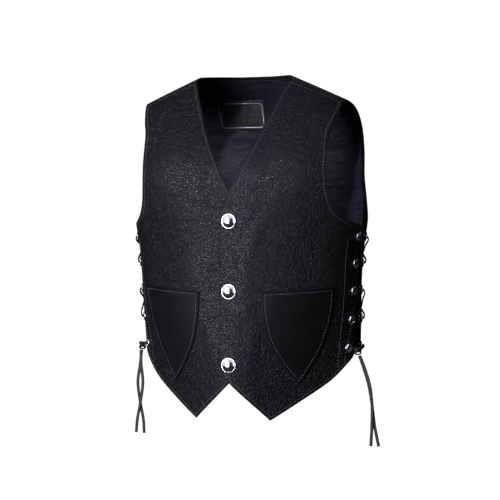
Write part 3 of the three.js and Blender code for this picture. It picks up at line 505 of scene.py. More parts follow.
def shell(outer, inner, rim, holes=()):
    """Points, faces and edge distances of a closed wall between two grids of points, with round
    holes. A hole is (centre, axis, radius): faces within it go, the ring of points left round it is
    drawn on to the circle, and a wall joins the two sides."""
    rows, columns = outer.shape[:2]
    count = rows * columns
    at = np.arange(count).reshape(rows, columns)
    quads = np.stack([at[:-1, :-1], at[1:, :-1], at[1:, 1:], at[:-1, 1:]], -1).reshape(-1, 4)
    skins = [outer.reshape(-1, 3).copy(), inner.reshape(-1, 3).copy()]
    middle = skins[0][quads].mean(1)
    keep = np.ones(len(quads), bool)
    for centre, axis, radius in holes:
        away = middle - centre
        high = away @ axis
        radial = np.linalg.norm(away - high[:, None] * axis, axis=1)
        inside = (radial < radius) & (np.abs(high) < 8)
        ring = np.intersect1d(quads[inside], quads[keep & ~inside])
        keep &= ~inside
        for skin in skins:
            arm = skin[ring] - centre
            level = (arm @ axis)[:, None] * axis
            skin[ring] = centre + level + unit(arm - level) * radius
    quads = quads[keep]
    sides = np.concatenate([quads[:, [k, (k + 1) % 4]] for k in range(4)])
    code = sides[:, 0] * count + sides[:, 1]
    alone = sides[~np.isin(code, sides[:, 1] * count + sides[:, 0])]
    walls = np.stack([alone[:, 1], alone[:, 0], alone[:, 0] + count, alone[:, 1] + count], -1)
    faces = np.concatenate([quads, quads[:, ::-1] + count, walls])
    points = np.concatenate(skins)
    a, b, c = points[quads[:, 0]], points[quads[:, 1]], points[quads[:, 2]]
    inward = (np.cross(b - a, c - a) * (skins[0] - skins[1])[quads[:, 0]]).sum() < 0
    used, new = np.unique(faces, return_inverse=True)
    faces = new.reshape(faces.shape)
    rims = np.tile(np.broadcast_to(rim, (rows, columns)).ravel(), 2)[used]
    return points[used], [faces[:, ::-1] if inward else faces], rims


def pebbled_leather():
    """Black pebbled cowhide: flat glossy pebbles about 3 mm across with dull creases between them,
    and soft unevenness over some centimetres. It is dull where the edge is turned, and in the furrow
    that the topstitching draws 4 mm inside it. In the creases, at the turned edge and in the furrow
    its colour is also darkened nearly to black, as painted shade."""
    material, node = node_maker("pebbled_leather")
    where = node("TexCoord").outputs["Object"]
    leaning = node("Mapping", None, Vector=where, Rotation=(0, math.radians(24), 0),
                   Scale=(1, 1, 1.35)).outputs["Vector"]
    wander = node("TexNoise", None, Vector=leaning, Scale=360, Detail=2).outputs["Color"]
    moved = node("VectorMath", {"operation": "MULTIPLY_ADD"}, i0=wander, i1=(0.0018,) * 3,
                 i2=leaning).outputs[0]
    gap = node("TexVoronoi", {"feature": "DISTANCE_TO_EDGE"}, Vector=moved, Scale=300,
               Randomness=0.85).outputs["Distance"]
    each = node("TexVoronoi", None, Vector=moved, Scale=300, Randomness=0.85).outputs["Color"]
    pebble = ramp(node, gap, 0.03, 0.22, 0.0, 1.0)
    uneven = node("TexNoise", None, Vector=moved, Scale=400, Detail=1.5).outputs["Fac"]
    fine = node("TexNoise", None, Vector=where, Scale=2600, Detail=3).outputs["Fac"]
    broad = node("TexNoise", None, Vector=where, Scale=30, Detail=2).outputs["Fac"]
    soft = node("Bump", None, Strength=0.25, Distance=0.0008, Height=broad).outputs["Normal"]
    tilt = node("Bump", None, Strength=1.0, Distance=0.0004, Height=uneven,
                Normal=soft).outputs["Normal"]
    grain = node("Bump", None, Strength=1.0, Distance=0.0006, Height=pebble,
                 Normal=tilt).outputs["Normal"]
    skin = node("Bump", None, Strength=0.2, Distance=0.00004, Height=fine,
                Normal=grain).outputs["Normal"]
    rim = node("Attribute", {"attribute_name": "rim"}).outputs["Fac"]
    off_furrow = node("Math", {"operation": "ABSOLUTE"}, i0=node(
        "Math", {"operation": "SUBTRACT"}, i0=rim, i1=4.0).outputs[0]).outputs[0]
    # Low at the turned edge and in the stitch furrow: it dulls them and also paints shade there
    plain = node("Math", {"operation": "MINIMUM"}, i0=ramp(node, rim, 0.3, 2.2, 0.0, 1.0),
                 i1=ramp(node, off_furrow, 0.5, 1.4, 0.1, 1.0)).outputs[0]
    # Pebble tops, less in the creases, with a random share for each pebble; this mask also carries the
    # painted shade of the creases
    pebble_gloss_and_shade = node("Math", {"operation": "MULTIPLY"}, i0=pebble,
                      i1=ramp(node, each, 0.25, 0.75, 0.55, 1.0)).outputs[0]
    gloss_and_shade = node("Math", {"operation": "MULTIPLY"}, i0=plain, i1=pebble_gloss_and_shade).outputs[0]
    worn = tone(node, broad, (0.0024, 0.0019, 0.0020), (0.0042, 0.0035, 0.0038))
    # Painted shade: in the creases between pebbles, at the turned edge and in the stitch furrow the
    # colour falls to near black (0.0009); the pebble tops keep their own uneven tone
    colour = node("Mix", {"data_type": "RGBA"}, i0=gloss_and_shade, i6=(0.0009, 0.0008, 0.0008, 1),
                  i7=worn).outputs[2]
    finished(node, Base_Color=colour, Roughness=ramp(node, gloss_and_shade, 0.0, 1.0, 0.62, 0.33),
             Specular_IOR_Level=0.5, Normal=skin)
    return material


def black_thread():
    """Bonded thread, dark grey so that it shows, shinier than the leather, with its plies' twist."""
    material, node = node_maker("black_thread")
    where = node("TexCoord").outputs["Object"]
    twist = node("TexNoise", None, Vector=where, Scale=3000, Detail=1).outputs["Fac"]
    bump = node("Bump", None, Strength=0.4, Distance=0.0001, Height=twist)
    finished(node, Base_Color=tone(node, twist, (0.07, 0.07, 0.078), (0.17, 0.17, 0.185)),
             Roughness=0.34, Normal=bump.outputs["Normal"])
    return material


LEATHER, THREAD = pebbled_leather(), black_thread()
LEATHER_THICK = 2.0
GAP = 0.3
NECK_X, TIP_X, SEAM_AHEAD = 62, 133, 9
# How far the laced edges of the fronts and the back stand off the side line, the eyelets in from
# them, and the heights at which those edges end
FRONT_EDGE, BACK_EDGE, EYELET_INSET = 11, 9, 12
LACED_Z = (-336, -176)
LAP_X, LAP_Z = -12.5, (-354, -161)
FRONT_TIP = (49, -421)
# Shares along a front's hem, side and centre edge of its point, armhole's foot and V's foot
TIP_CORNER, ARM_CORNER, V_CORNER = 4 / 14, 10 / 22, 0.5
EYELET_HEIGHTS = [-191, -225, -260, -297, -333]
EYELET_HOLE = 4.3
# Round an eyelet both faces of the leather are level and this much proud, out to these distances
# from its middle on the outer face and on the inner one
PROUD, FLANGE_REACH, ROLL_REACH = 0.1, 7.4, 6.6
# Share of the face's turn at an edge by which the inside turns the other way
INNER_TURN = 0.9
FIVE = np.linspace(0, 1, 5)


def front_edges():
    """Bottom, top, left and right edges of a front's pattern."""
    notch = [at_x("front", x, z) for x, z in ((LAP_X, LAP_Z[0]), (0, -373.5), FRONT_TIP)]
    hem = [at_x("front", x, z) for x, z in (FRONT_TIP, (83, -398), (116, -374), (134, -354),
                                            (141, -344))]
    hem += [at_side("front", FRONT_EDGE, LACED_Z[0])]
    seam = [at_shoulder("front", NECK_X + (TIP_X - NECK_X) * t, SEAM_AHEAD + GAP) for t in FIVE]
    lap = [at_x("front", LAP_X, LAP_Z[0] + (LAP_Z[1] - LAP_Z[0]) * t) for t in (0, 0.5, 1)]
    neck = [at_x("front", x, z) for x, z in ((LAP_X, LAP_Z[1]), (0, -134), (11, -113), (23, -86),
                                             (36, -57), (51, -17))] + [seam[0]]
    side = [at_side("front", FRONT_EDGE, LACED_Z[0] + (LACED_Z[1] - LACED_Z[0]) * t)
            for t in FIVE]
    armhole = [side[-1]] + [at_x("front", x, z) for x, z in (
        (144, -171.5), (134, -163), (127, -151), (123, -137), (121, -118), (121, -88),
        (122.5, -60), (127.5, -42))] + [seam[-1]]
    return (edge([(notch, 4, 1), (hem, 10, 1)]), edge([(seam, 14, 1)]),
            edge([(lap, 11, 1), (neck, 11, 1)]), edge([(side, 10, 1), (armhole, 12, 1)]))


FRONT_EDGES = front_edges()
LAP_STEP, LAP_FLAT, LAP_FADE = 1.35, 20, 50

# Creases that lie in both fronts: x, z, length, width, angle from level, and depth, below 0 a trough
FRONT_CREASES = np.array([
    (24, -182, 26, 5, 62, -0.7), (30, -205, 30, 6, 70, 0.5), (46, -168, 30, 8, 38, 0.6),
    (74, -148, 34, 9, 20, -0.6), (112, -178, 22, 6, 35, -0.9), (120, -196, 18, 5, 20, 0.6),
    (98, -205, 40, 12, 12, -0.5), (30, -262, 20, 6, -12, -0.5), (36, -280, 26, 6, 68, -0.8),
    (30, -318, 26, 6, 82, 0.6), (38, -330, 20, 5, 74, -0.7), (28, -345, 16, 6, 40, 0.5),
    (58, -385, 24, 8, 35, -0.8), (96, -370, 24, 8, -25, 0.7), (120, -345, 16, 6, 60, -0.6),
    (90, -40, 30, 8, -14, -0.5), (104, -70, 34, 9, -70, -0.6), (70, -84, 36, 12, -40, 0.6),
    (132, -230, 26, 6, 84, -0.6), (130, -282, 26, 6, 80, 0.5), (14, -222, 16, 5, 80, -0.4),
    (16, -305, 18, 5, 86, -0.4),
])


def creases(table, x, z, edge_distance):
    """Sum of soft ridges and troughs: depth times exp(-(along/length)^2 - (across/width)^2), with
    none at an edge."""
    total = np.zeros(x.shape)
    for cx, cz, length, width, angle, depth in table:
        c, s = math.cos(math.radians(angle)), math.sin(math.radians(angle))
        dx, dz = x - cx, z - cz
        total += depth * np.exp(-((dx * c + dz * s) / length) ** 2 - (
            (dz * c - dx * s) / width) ** 2)
    return total * np.clip((edge_distance - 1) / 12, 0, 1)


def front_height(over, across, up, edge_distance):
    """Height of a front's face over the form: its lap over or under the other front, and creases."""
    p = form("front", across, up)
    away = np.clip((np.abs(p[..., 0]) - LAP_FLAT) / (LAP_FADE - LAP_FLAT), 0, 1)
    lap = over * LAP_STEP * (1 - away**2 * (3 - 2 * away))
    table = FRONT_CREASES * (1, 1, 1, 1, 1, 1 if over > 0 else 0.8)
    quiet = np.clip((p[..., 0] - 4) / 14, 0, 1)
    return lap + creases(table, p[..., 0], p[..., 2], edge_distance) * quiet


def eyelet_seats(half):
    """Middle and outward way of each eyelet's hole on the wearer's left, from the top down."""
    from_side = (FRONT_EDGE if half == "front" else BACK_EDGE) + EYELET_INSET
    places = np.array([at_side(half, from_side, z) for z in EYELET_HEIGHTS])
    return (form(half, places[:, 0], places[:, 1]), outward(half, places[:, 0], places[:, 1]))


def pressed(points, seats, lift, reach):
    """Points drawn level under each eyelet's flange, out to its reach."""
    for centre, axis in zip(*seats):
        arm = points - centre
        high = arm @ axis
        radial = np.linalg.norm(arm - high[..., None] * axis, axis=-1)
        share = np.clip((reach - radial) / 1.6, 0, 1) * (np.abs(high) < 8)
        points = points + ((lift - high) * share)[..., None] * axis
    return points


def panel(half, across, up, rim, height, seats):
    """Points, faces and edge distances of a leather panel: its face and its inside over the form,
    with turned edges, pressed level round the eyelets, and a hole at each eyelet's seat."""
    turn = turned_edge(rim)
    face = pressed(lifted(half, across, up, height + turn), seats, PROUD, FLANGE_REACH)
    inside = lifted(half, across, up, height - LEATHER_THICK - turn * INNER_TURN)
    inside = pressed(inside, seats, -LEATHER_THICK - PROUD, ROLL_REACH)
    return shell(face, inside, rim, [(c, n, EYELET_HOLE) for c, n in zip(*seats)])


def on_side(side, points, faces):
    """A piece of the wearer's left as it is, or mirrored for the right."""
    if side > 0:
        return points, faces
    return points * (-1, 1, 1), [f[:, ::-1] for f in faces]


for word, side in SIDES:
    across, up, rim = panel_grid("front", FRONT_EDGES, [TIP_CORNER], [ARM_CORNER, V_CORNER], 84, 200)
    height = front_height(side, across, up, rim)
    points, faces, rims = panel("front", across, up, rim, height, eyelet_seats("front"))
    points, faces = on_side(side, points, faces)
    front = piece_of(f"front_panel_{word}", points, faces, LEATHER, "leather", rims)
    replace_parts(front, f"front_{word}")

# Back: one pebbled leather panel from hem to neck, that comes over both shoulders to the seams in
# front of the ridge. Its edges are turned and stitched as the fronts' are, and its two sides carry
# the other eyelets.
# Height of the hem at the centre line, and shares along the top and side of its corners
BACK_HEM_Z = -362
NECK_CORNER, BACK_ARM_CORNER = 5 / 12, 9 / 20


def neck_place(t):
    """A place on the back's neckline: y falls from 61 behind the ridge to the seam ahead of it as
    (1 - (x/62)^2)^0.62."""
    x = NECK_X * math.sin(t * math.pi / 2)
    y = (61 + SEAM_AHEAD) * (1 - (x / NECK_X) ** 2) ** 0.62 - SEAM_AHEAD
    if y <= 0:
        return at_shoulder("back", x, -y)
    share = np.interp(x, SHEETS["back"][0][-LOW_UP, :, 0], SHARES)
    ups = np.arange(0, np.interp(share, SHARES, SHEETS["back"][2]))
    depths = form("back", np.full(len(ups), share), ups)[:, 1]
    return share, np.interp(-y, -depths, ups)


def back_edges():
    """Bottom, top, left (centre line) and right (side) edges of half the back's pattern."""
    seam = [at_shoulder("back", NECK_X + (TIP_X - NECK_X) * t, SEAM_AHEAD) for t in FIVE]
    neckline = [neck_place(t) for t in (0, 0.2, 0.4, 0.6, 0.8)] + [seam[0]]
    low, high = LACED_Z
    side = [at_side("back", BACK_EDGE, low + (high - low) * t) for t in FIVE]
    armhole = [side[-1]] + [at_side("back", d, z) for d, z in (
        (24, -160), (36, -136), (42, -110), (40, -78), (43, -40))] + [seam[-1]]
    hem_girth = np.interp(BACK_HEM_Z - CHEST_Z, np.arange(LOW_UP, 1.0), SHEETS["back"][1])
    hem = [at_side("back", hem_girth + (BACK_EDGE - hem_girth) * t,
                   BACK_HEM_Z + (low - BACK_HEM_Z) * t * t) for t in FIVE]
    centre = [(0.0, hem[0][1]), (0.0, 0.0), neckline[0]]
    return (edge([(hem, 12, 1.3)]), edge([(neckline, 5, 1), (seam, 7, 1)]),
            edge([(centre, 20, 1)]), edge([(side, 9, 1), (armhole, 11, 1)]))


BACK_EDGES = back_edges()

# Creases of the back, from its centre line outwards, in the fronts' columns
BACK_CREASES = np.array([
    (0, -150, 60, 18, 90, 0.5), (30, -238, 40, 9, 10, -0.8), (62, -252, 36, 8, -14, 0.6),
    (96, -232, 34, 9, -24, -0.9), (118, -205, 24, 7, -40, 0.7), (44, -300, 46, 12, 74, 0.7),
    (84, -318, 40, 11, 82, -0.8), (18, -330, 34, 9, 84, -0.6), (112, -300, 30, 8, 78, 0.6),
    (92, -110, 40, 12, 58, -0.7), (60, -90, 44, 14, 34, 0.5), (116, -150, 26, 8, 66, 0.7),
    (40, -18, 34, 10, 22, -0.5), (0, -352, 40, 8, 2, -0.4),
])


def back_height(across, up, edge_distance):
    """Height of the back's face over the form: its creases, which bend sideways as 4 sin(z/60)."""
    p = form("back", across, up)
    bent = np.abs(p[..., 0]) + 4 * np.sin(p[..., 2] / 60)
    return creases(BACK_CREASES, bent, p[..., 2], edge_distance)


def centred(edges, half, count_u, count_v, corners_u, corners_v):
    """Both halves of a pattern that is symmetrical about the centre line, as one grid, with the
    distance from its true edges."""
    across, up, rim = panel_grid(half, edges, corners_u, corners_v, count_u, count_v)
    rows = len(TURN_ROWS)
    keep = np.r_[0, rows - 1:len(across)]
    across, up = across[keep], up[keep]
    across[0] = 0
    sides = np.full(len(across), FAR)
    sides[-rows:] = TURN_ROWS[::-1, 0]
    ends = np.full(across.shape[1], FAR)
    ends[:rows], ends[-rows:] = TURN_ROWS[:, 0], TURN_ROWS[::-1, 0]
    rim = np.minimum(sides[:, None], ends[None])
    return tuple(np.concatenate([sign * a[:0:-1], a]) for a, sign in (
        (across, -1), (up, 1), (rim, 1)))


across, up, rim = centred(BACK_EDGES, "back", 96, 220, [NECK_CORNER], [BACK_ARM_CORNER])
both_seats = [np.concatenate([a * (-1, 1, 1), a]) for a in eyelet_seats("back")]
height = back_height(across, up, rim)
points, faces, rims = panel("back", across, up, rim, height, both_seats)
back_panel = piece_of("back_panel", points, faces, LEATHER, "leather", rims)
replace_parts(back_panel, "back")

# Back lining: slate blue satin inside the back, sewn along the neck and armholes 5.5 mm from their
# edges. It is a little too wide for the leather, so it lies in level ripples.
LINING_IN, LINING_HEM_IN, STRIP_IN = 5.5, 15.0, 25.0
# Share up the side where the lining leaves the laced strip for the armhole, and over how much more
STRIP_TOP, STRIP_FADE = 0.43, 0.08
LINING_LIFT, LINING_THICK = -LEATHER_THICK - 0.65, 0.4


def satin():
    """Polyester satin: a fine weave that runs level, glossy across the threads, with small ripples."""
    material, node = node_maker("slate_satin")
    where = node("TexCoord").outputs["Object"]
    level = node("Mapping", None, Vector=where, Scale=(0.35, 0.35, 1.0)).outputs["Vector"]
    ripple = node("TexNoise", None, Vector=level, Scale=150, Detail=4, Distortion=0.4).outputs["Fac"]
    weave = node("TexWave", {"bands_direction": "Z"}, Vector=where, Scale=900,
                 Distortion=0.6).outputs["Fac"]
    soft = node("Bump", None, Strength=1.0, Distance=0.003, Height=ripple).outputs["Normal"]
    threads = node("Bump", None, Strength=0.12, Distance=0.00005, Height=weave,
                   Normal=soft).outputs["Normal"]
    finished(node, Base_Color=tone(node, ripple, (0.005, 0.005, 0.008), (0.030, 0.029, 0.040)),
             Roughness=0.5, Anisotropic=0.5, Specular_IOR_Level=0.22, Normal=threads)
    return material


def ripples(x, z, edge_distance):
    """Level ripples of slack cloth: a sum of waves in z whose phase wanders with x, that swell and
    die away, in from the leather by up to 1.5 mm, and none where it is sewn down."""
    wander = 5 * np.sin(x / 23 + z / 31) + 3 * np.sin(x / 11 - z / 17)
    swell = 0.5 + 0.5 * np.sin(x / 37 + 1.7 * np.sin(z / 41))
    wave = 0.5 + 0.5 * np.sin((z + wander) / 3.4)
    broad = 0.5 + 0.5 * np.sin((z - 1.6 * wander) / 9.5 + 1)
    return -(0.6 * wave * swell + 0.9 * broad) * np.clip(edge_distance / 14, 0, 1)


def lining_pattern(edges):
    """The back's pattern drawn in along the sewn edges, by the hem and by the laced strips, as one
    grid with each point's rough distance from the lining's edge."""
    base_u, base_v = np.linspace(0, 1, 61), np.linspace(0, 1, 121)
    top = inset_share("back", edges, "top", base_u, LINING_IN)
    low = inset_share("back", edges, "bottom", base_u, LINING_HEM_IN)
    strip_share = inset_share("back", edges, "right", base_v, STRIP_IN)
    sewn_share = inset_share("back", edges, "right", base_v, LINING_IN)
    lace = np.clip((base_v - STRIP_TOP) / STRIP_FADE, 0, 1)
    right = strip_share + (sewn_share - strip_share) * lace**2 * (3 - 2 * lace)
    s, t = np.linspace(0, 1, 90)[:, None], np.linspace(0, 1, 190)[None]
    v = np.interp(s, base_u, low) * (1 - t) + (1 - np.interp(s, base_u, top)) * t
    u = s * (1 - np.interp(v, base_v, right))
    q = pattern(edges, u, v)
    inner = np.minimum((1 - s) * 150, np.minimum(t, 1 - t) * 380)
    return tuple(np.concatenate([sign * a[:0:-1], a]) for a, sign in (
        (q[..., 0], -1), (q[..., 1], 1), (inner, 1)))


across, up, sewn = lining_pattern(BACK_EDGES)
flat = form("back", across, up)
slack = np.clip((sewn - 2) / 14, 0, 1)
height = LINING_LIFT + ripples(flat[..., 0], flat[..., 2], sewn) * slack
height = height + np.minimum(creases(BACK_CREASES, np.abs(flat[..., 0]), flat[..., 2], sewn), 0)
points, faces, _ = shell(lifted("back", across, up, height),
                         lifted("back", across, up, height - LINING_THICK), sewn)
lining = piece_of("satin_lining", points, faces, satin(), "satin")
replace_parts(lining, "back_lining")

# Patch pockets: smooth, matter leather with a straight top and two curved sides that meet in a
# point, turned under and topstitched on to the fronts, and open at the top.
POCKET_THICK = 1.6
POCKET_LIFT = 0.4
POCKET_TOP = ((40.5, -259), (124, -254))
POCKET_POINT = (81, -377)
POCKET_OUTER = ((121, -282), (115, -307), (103, -339))
POCKET_INNER = ((63, -350), (49, -322), (42, -288))
POCKET_MIDDLE = (82, -302)
POCKET_STITCH_IN = 3.6


def smooth_leather():
    """Smooth black leather with a faint hair-cell grain, matt and slightly brown."""
    material, node = node_maker("smooth_leather")
    where = node("TexCoord").outputs["Object"]
    cell = node("TexVoronoi", {"feature": "DISTANCE_TO_EDGE"}, Vector=where, Scale=1500,
                Randomness=1.0).outputs["Distance"]
    broad = node("TexNoise", None, Vector=where, Scale=60, Detail=4).outputs["Fac"]
    soft = node("Bump", None, Strength=0.4, Distance=0.0008, Height=broad).outputs["Normal"]
    grain = node("Bump", None, Strength=0.35, Distance=0.00006, Height=cell,
                 Normal=soft).outputs["Normal"]
    finished(node, Base_Color=tone(node, broad, (0.0024, 0.0021, 0.0021), (0.0044, 0.0039, 0.0040)),
             Roughness=ramp(node, broad, 0.3, 0.7, 0.58, 0.7), Specular_IOR_Level=0.22, Normal=grain)
    return material


def pocket_sides():
    """The pocket's three sides as pattern points in millimetres, each from corner to corner."""
    rows = (POCKET_TOP, (POCKET_TOP[1], *POCKET_OUTER, POCKET_POINT),
            (POCKET_POINT, *POCKET_INNER, POCKET_TOP[0]))
    lines = []
    for row, count in zip(rows, (50, 70, 70)):
        at = np.array([at_x("front", *place) for place in row]) * (PATTERN_WIDE, 1)
        lines.append(curve(at, np.linspace(0, 1, count + 1), tightness=0))
    return lines


def pocket_ring(distance):
    """The pocket's outline drawn in by a distance: each point moves square to its side, and slides
    along it by its share of distance over the tangent of half the corner at either end."""
    sides = []
    count = len(POCKET_SIDES)
    turns = [unit(np.diff(side, axis=0)) for side in POCKET_SIDES]
    bends = []
    for k in range(count):
        before, after = turns[k - 1][-1], turns[k][0]
        bends.append(abs(before[0] * after[1] - before[1] * after[0]) / (1 + before @ after))
    for k, side in enumerate(POCKET_SIDES):
        way = along(side)
        inward = np.stack([way[:, 1], -way[:, 0]], 1)
        t = np.linspace(0, 1, len(side))[:, None]
        slide = (1 - t) * bends[k] - t * bends[(k + 1) % count]
        sides.append((side + distance * (inward + slide * way))[:-1])
    return np.concatenate(sides)


def pocket_height(across, up, side):
    """Height of the pocket's face over the form: the front's own, its leather, and its fullness, a
    bell curve below the mouth and a broader one over the body."""
    p = form("front", across, up)
    mouth = np.exp(-((p[..., 2] + 262) / 9) ** 2 - ((p[..., 0] - 82) / 30) ** 2)
    body = np.exp(-((p[..., 2] + 305) / 34) ** 2 - ((p[..., 0] - 82) / 26) ** 2)
    base = front_height(side, across, up, np.full(across.shape, FAR))
    return base + POCKET_LIFT, mouth + 0.7 * body


def disc(outer, inner):
    """Points and faces of a closed wall between two sets of rings, whose last ring is a point."""
    rows, columns = outer.shape[:2]
    count = rows * columns
    at = np.arange(count).reshape(rows, columns)
    at = np.hstack([at, at[:, :1]])
    quads = np.stack([at[:-2, :-1], at[1:-1, :-1], at[1:-1, 1:], at[:-2, 1:]], -1).reshape(-1, 4)
    fan = np.stack([at[-2, :-1], np.full(columns, at[-1, 0]), at[-2, 1:]], -1)
    walls = np.stack([at[0, 1:], at[0, :-1] + count, at[0, 1:] + count, at[0, :-1]], -1)
    walls = walls[:, [3, 0, 2, 1]]
    squares = np.concatenate([quads, quads[:, ::-1] + count, walls])
    fans = np.concatenate([fan, fan[:, ::-1] + count])
    points = np.concatenate([outer.reshape(-1, 3), inner.reshape(-1, 3)])
    a, b, c = (points[quads[:, k]] for k in (0, 1, 2))
    inward = (np.cross(b - a, c - a) * (points[quads[:, 0]] - points[quads[:, 0] + count])).sum() < 0
    used, new = np.unique(np.concatenate([squares.ravel(), fans.ravel()]), return_inverse=True)
    squares, fans = new[:squares.size].reshape(-1, 4), new[squares.size:].reshape(-1, 3)
    return points[used], [f[:, ::-1] if inward else f for f in (squares, fans)]


POCKET_SIDES = pocket_sides()
SMOOTH_LEATHER = smooth_leather()
shares = np.linspace(0, 1, 26)[1:, None, None]
rings = np.stack([pocket_ring(distance * 0.9) for distance in TURN_ROWS[:, 0]])
middle = np.array(at_x("front", *POCKET_MIDDLE)) * (PATTERN_WIDE, 1)
rings = np.concatenate([rings, rings[-1:] * (1 - shares) + middle * shares])
across, up = rings[..., 0] / PATTERN_WIDE, rings[..., 1]
turned = np.zeros(len(rings))
turned[:len(TURN_ROWS)] = TURN_ROWS[:, 1]
for word, side in SIDES:
    base, full = pocket_height(across, up, side)
    outer = lifted("front", across, up, base + POCKET_THICK + full + turned[:, None])
    under = lifted("front", across, up, base + 0.75 * full)
    points, faces = on_side(side, *disc(outer, under))
    pocket = piece_of(f"patch_pocket_{word}", points, faces, SMOOTH_LEATHER, "pocket_leather")
    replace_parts(pocket, f"pocket_{word}")

# Topstitching: lockstitches of dark bonded thread, 2.9 mm long, 4 mm inside every turned edge, round
# the pockets, and 25 mm in along the laced sides, where each strip's facing is sewn down. A short
# tack stands beside the inner top corner of the wearer's left pocket.
STITCH_PITCH, STITCH_LONG, STITCH_WIDE = 4.0, 2.9, 0.85
TACK_X, TACK_Z = 38.6, (-261, -272)
NEXT_EDGES = {"left": ("bottom", "top"), "right": ("bottom", "top"),
              "bottom": ("left", "right"), "top": ("left", "right")}


def stitches(path, normals):
    """Points and faces of stitches along a line on a face. Along a stitch its radius and its height
    follow the root of a half sine, so both ends dip into the leather."""
    rows, sides = 7, 6
    run = np.append(0, np.cumsum(np.linalg.norm(np.diff(path, axis=0), axis=1)))
    count = int(run[-1] / STITCH_PITCH)
    starts = (np.arange(count) + 0.12) * run[-1] / count
    t = np.linspace(0, 1, rows)
    spots = starts[:, None] + t * STITCH_LONG
    centre = np.stack([np.interp(spots, run, column) for column in path.T], -1)
    normal = unit(np.stack([np.interp(spots, run, column) for column in normals.T], -1))
    ahead = unit(centre[:, -1:] - centre[:, :1])
    wide = np.cross(normal, ahead)
    swell = np.sqrt(np.sin(np.pi * (0.06 + 0.88 * t)))
    turn = np.linspace(0, 2 * np.pi, sides + 1)[:-1]
    rise = (-0.35 + 0.5 * swell)[None, :, None, None]
    radius = STITCH_WIDE / 2 * swell[None, :, None, None]
    points = centre[:, :, None] + normal[:, :, None] * (
        rise + radius * 0.8 * np.sin(turn)[None, None, :, None]) + (
        wide[:, :, None] * radius * np.cos(turn)[None, None, :, None])
    low, j = np.arange(rows - 1)[:, None] * sides, np.arange(sides)[None]
    after = (j + 1) % sides
    ring = np.stack([low + j, low + after, low + sides + after, low + sides + j], -1)
    first = np.arange(count)[:, None, None] * rows * sides
    caps = np.stack([np.arange(sides)[::-1], (rows - 1) * sides + np.arange(sides)])
    quads = (ring.reshape(1, -1, 4) + first).reshape(-1, 4)
    ends = (caps[None] + first).reshape(-1, sides)
    return points.reshape(-1, 3), [quads, ends]


def joined(parts):
    """Several (points, faces) as one, with faces sorted by their number of corners."""
    points = np.concatenate([p for p, _ in parts])
    firsts = np.cumsum([0] + [len(p) for p, _ in parts[:-1]])
    faces = [f + first for first, (_, groups) in zip(firsts, parts) for f in groups]
    return points, faces


def inner_line(half, edges, side, distance, start=0.0, stop=1.0):
    """Pattern points along a line so far inside one edge of a panel, which stops short of its two
    neighbouring edges by as much."""
    near, far = (float(inset_share(half, edges, name, np.array([0.5]), EDGE_IN)[0])
                 for name in NEXT_EDGES[side])
    a = np.linspace(max(start, near), min(stop, 1 - far), 400)
    share = inset_share(half, edges, side, a, distance)
    b = share if side in ("left", "bottom") else 1 - share
    q = pattern(edges, *((b, a) if side in ("left", "right") else (a, b)))
    return q[:, 0], q[:, 1]


def seam_line(half, across, up, height):
    """A line's points and outward ways on a panel's face."""
    return lifted(half, across, up, height), outward(half, across, up)


# Lines of stitches on each panel: its edge, how far inside it, and the shares along it of both ends
FRONT_LINES = [("left", EDGE_IN, 0, V_CORNER), ("left", EDGE_IN, V_CORNER, 1), ("top", EDGE_IN, 0, 1),
               ("right", EDGE_IN, 0, ARM_CORNER), ("right", EDGE_IN, ARM_CORNER, 1),
               ("right", STRIP_IN, 0, ARM_CORNER), ("bottom", EDGE_IN, 0, TIP_CORNER),
               ("bottom", EDGE_IN, TIP_CORNER, 1)]
BACK_LINES = [("bottom", EDGE_IN, 0, 1), ("top", EDGE_IN, 0, NECK_CORNER),
              ("top", EDGE_IN, NECK_CORNER, 1), ("right", EDGE_IN, 0, BACK_ARM_CORNER),
              ("right", EDGE_IN, BACK_ARM_CORNER, 1), ("right", STRIP_IN, 0, BACK_ARM_CORNER)]
for word, side in SIDES:
    lines = []
    for name, distance, start, stop in FRONT_LINES:
        across, up = inner_line("front", FRONT_EDGES, name, distance, start, stop)
        depth = np.full(across.shape, distance)
        height = front_height(side, across, up, depth) + turned_edge(depth)
        lines.append(stitches(*seam_line("front", across, up, height)))
    ring = pocket_ring(POCKET_STITCH_IN)
    ring = np.concatenate([ring, ring[:1]])
    across, up = ring[:, 0] / PATTERN_WIDE, ring[:, 1]
    base, full = pocket_height(across, up, side)
    lines.append(stitches(*seam_line("front", across, up, base + POCKET_THICK + full + FURROW)))
    if side > 0:
        tack = np.array([at_x("front", TACK_X, z) for z in np.linspace(*TACK_Z, 24)])
        height = front_height(side, tack[:, 0], tack[:, 1], np.full(len(tack), FAR))
        lines.append(stitches(*seam_line("front", tack[:, 0], tack[:, 1], height)))
    points, faces = on_side(side, *joined(lines))
    piece_of(f"stitching_front_{word}", points, faces, THREAD, "leather")
    lines = []
    for name, distance, start, stop in BACK_LINES:
        across, up = inner_line("back", BACK_EDGES, name, distance, start, stop)
        if name in ("bottom", "top") and start == 0:
            across[0] = 0
        depth = np.full(across.shape, distance)
        height = back_height(across, up, depth) + turned_edge(depth)
        lines.append(stitches(*seam_line("back", across, up, height)))
    points, faces = on_side(side, *joined(lines))
    piece_of(f"stitching_back_{word}", points, faces, THREAD, "leather")

# Snaps: three domed caps of polished nickel with a rolled rim, clinched through the upper front, and
# the flat rolled backs of their studs inside the under front.
SNAP_HEIGHTS = (-171, -259, -351)
CAP_PROFILE = [(0, 0), (8.7, 0), (9.3, 0.25), (9.5, 0.75), (9.3, 1.25), (8.8, 1.45), (8.35, 1.3),
               (7.9, 1.75), (6.9, 2.6), (5.4, 3.5), (3.6, 4.2), (1.8, 4.52), (0, 4.6)]
STUD_PROFILE = [(0, 0), (6.0, 0), (6.4, 0.3), (6.3, 0.7), (5.6, 1.0), (4.2, 1.1), (3.4, 1.7),
                (2.6, 1.8), (2.0, 1.3), (1.6, 0.7), (0, 0.6)]


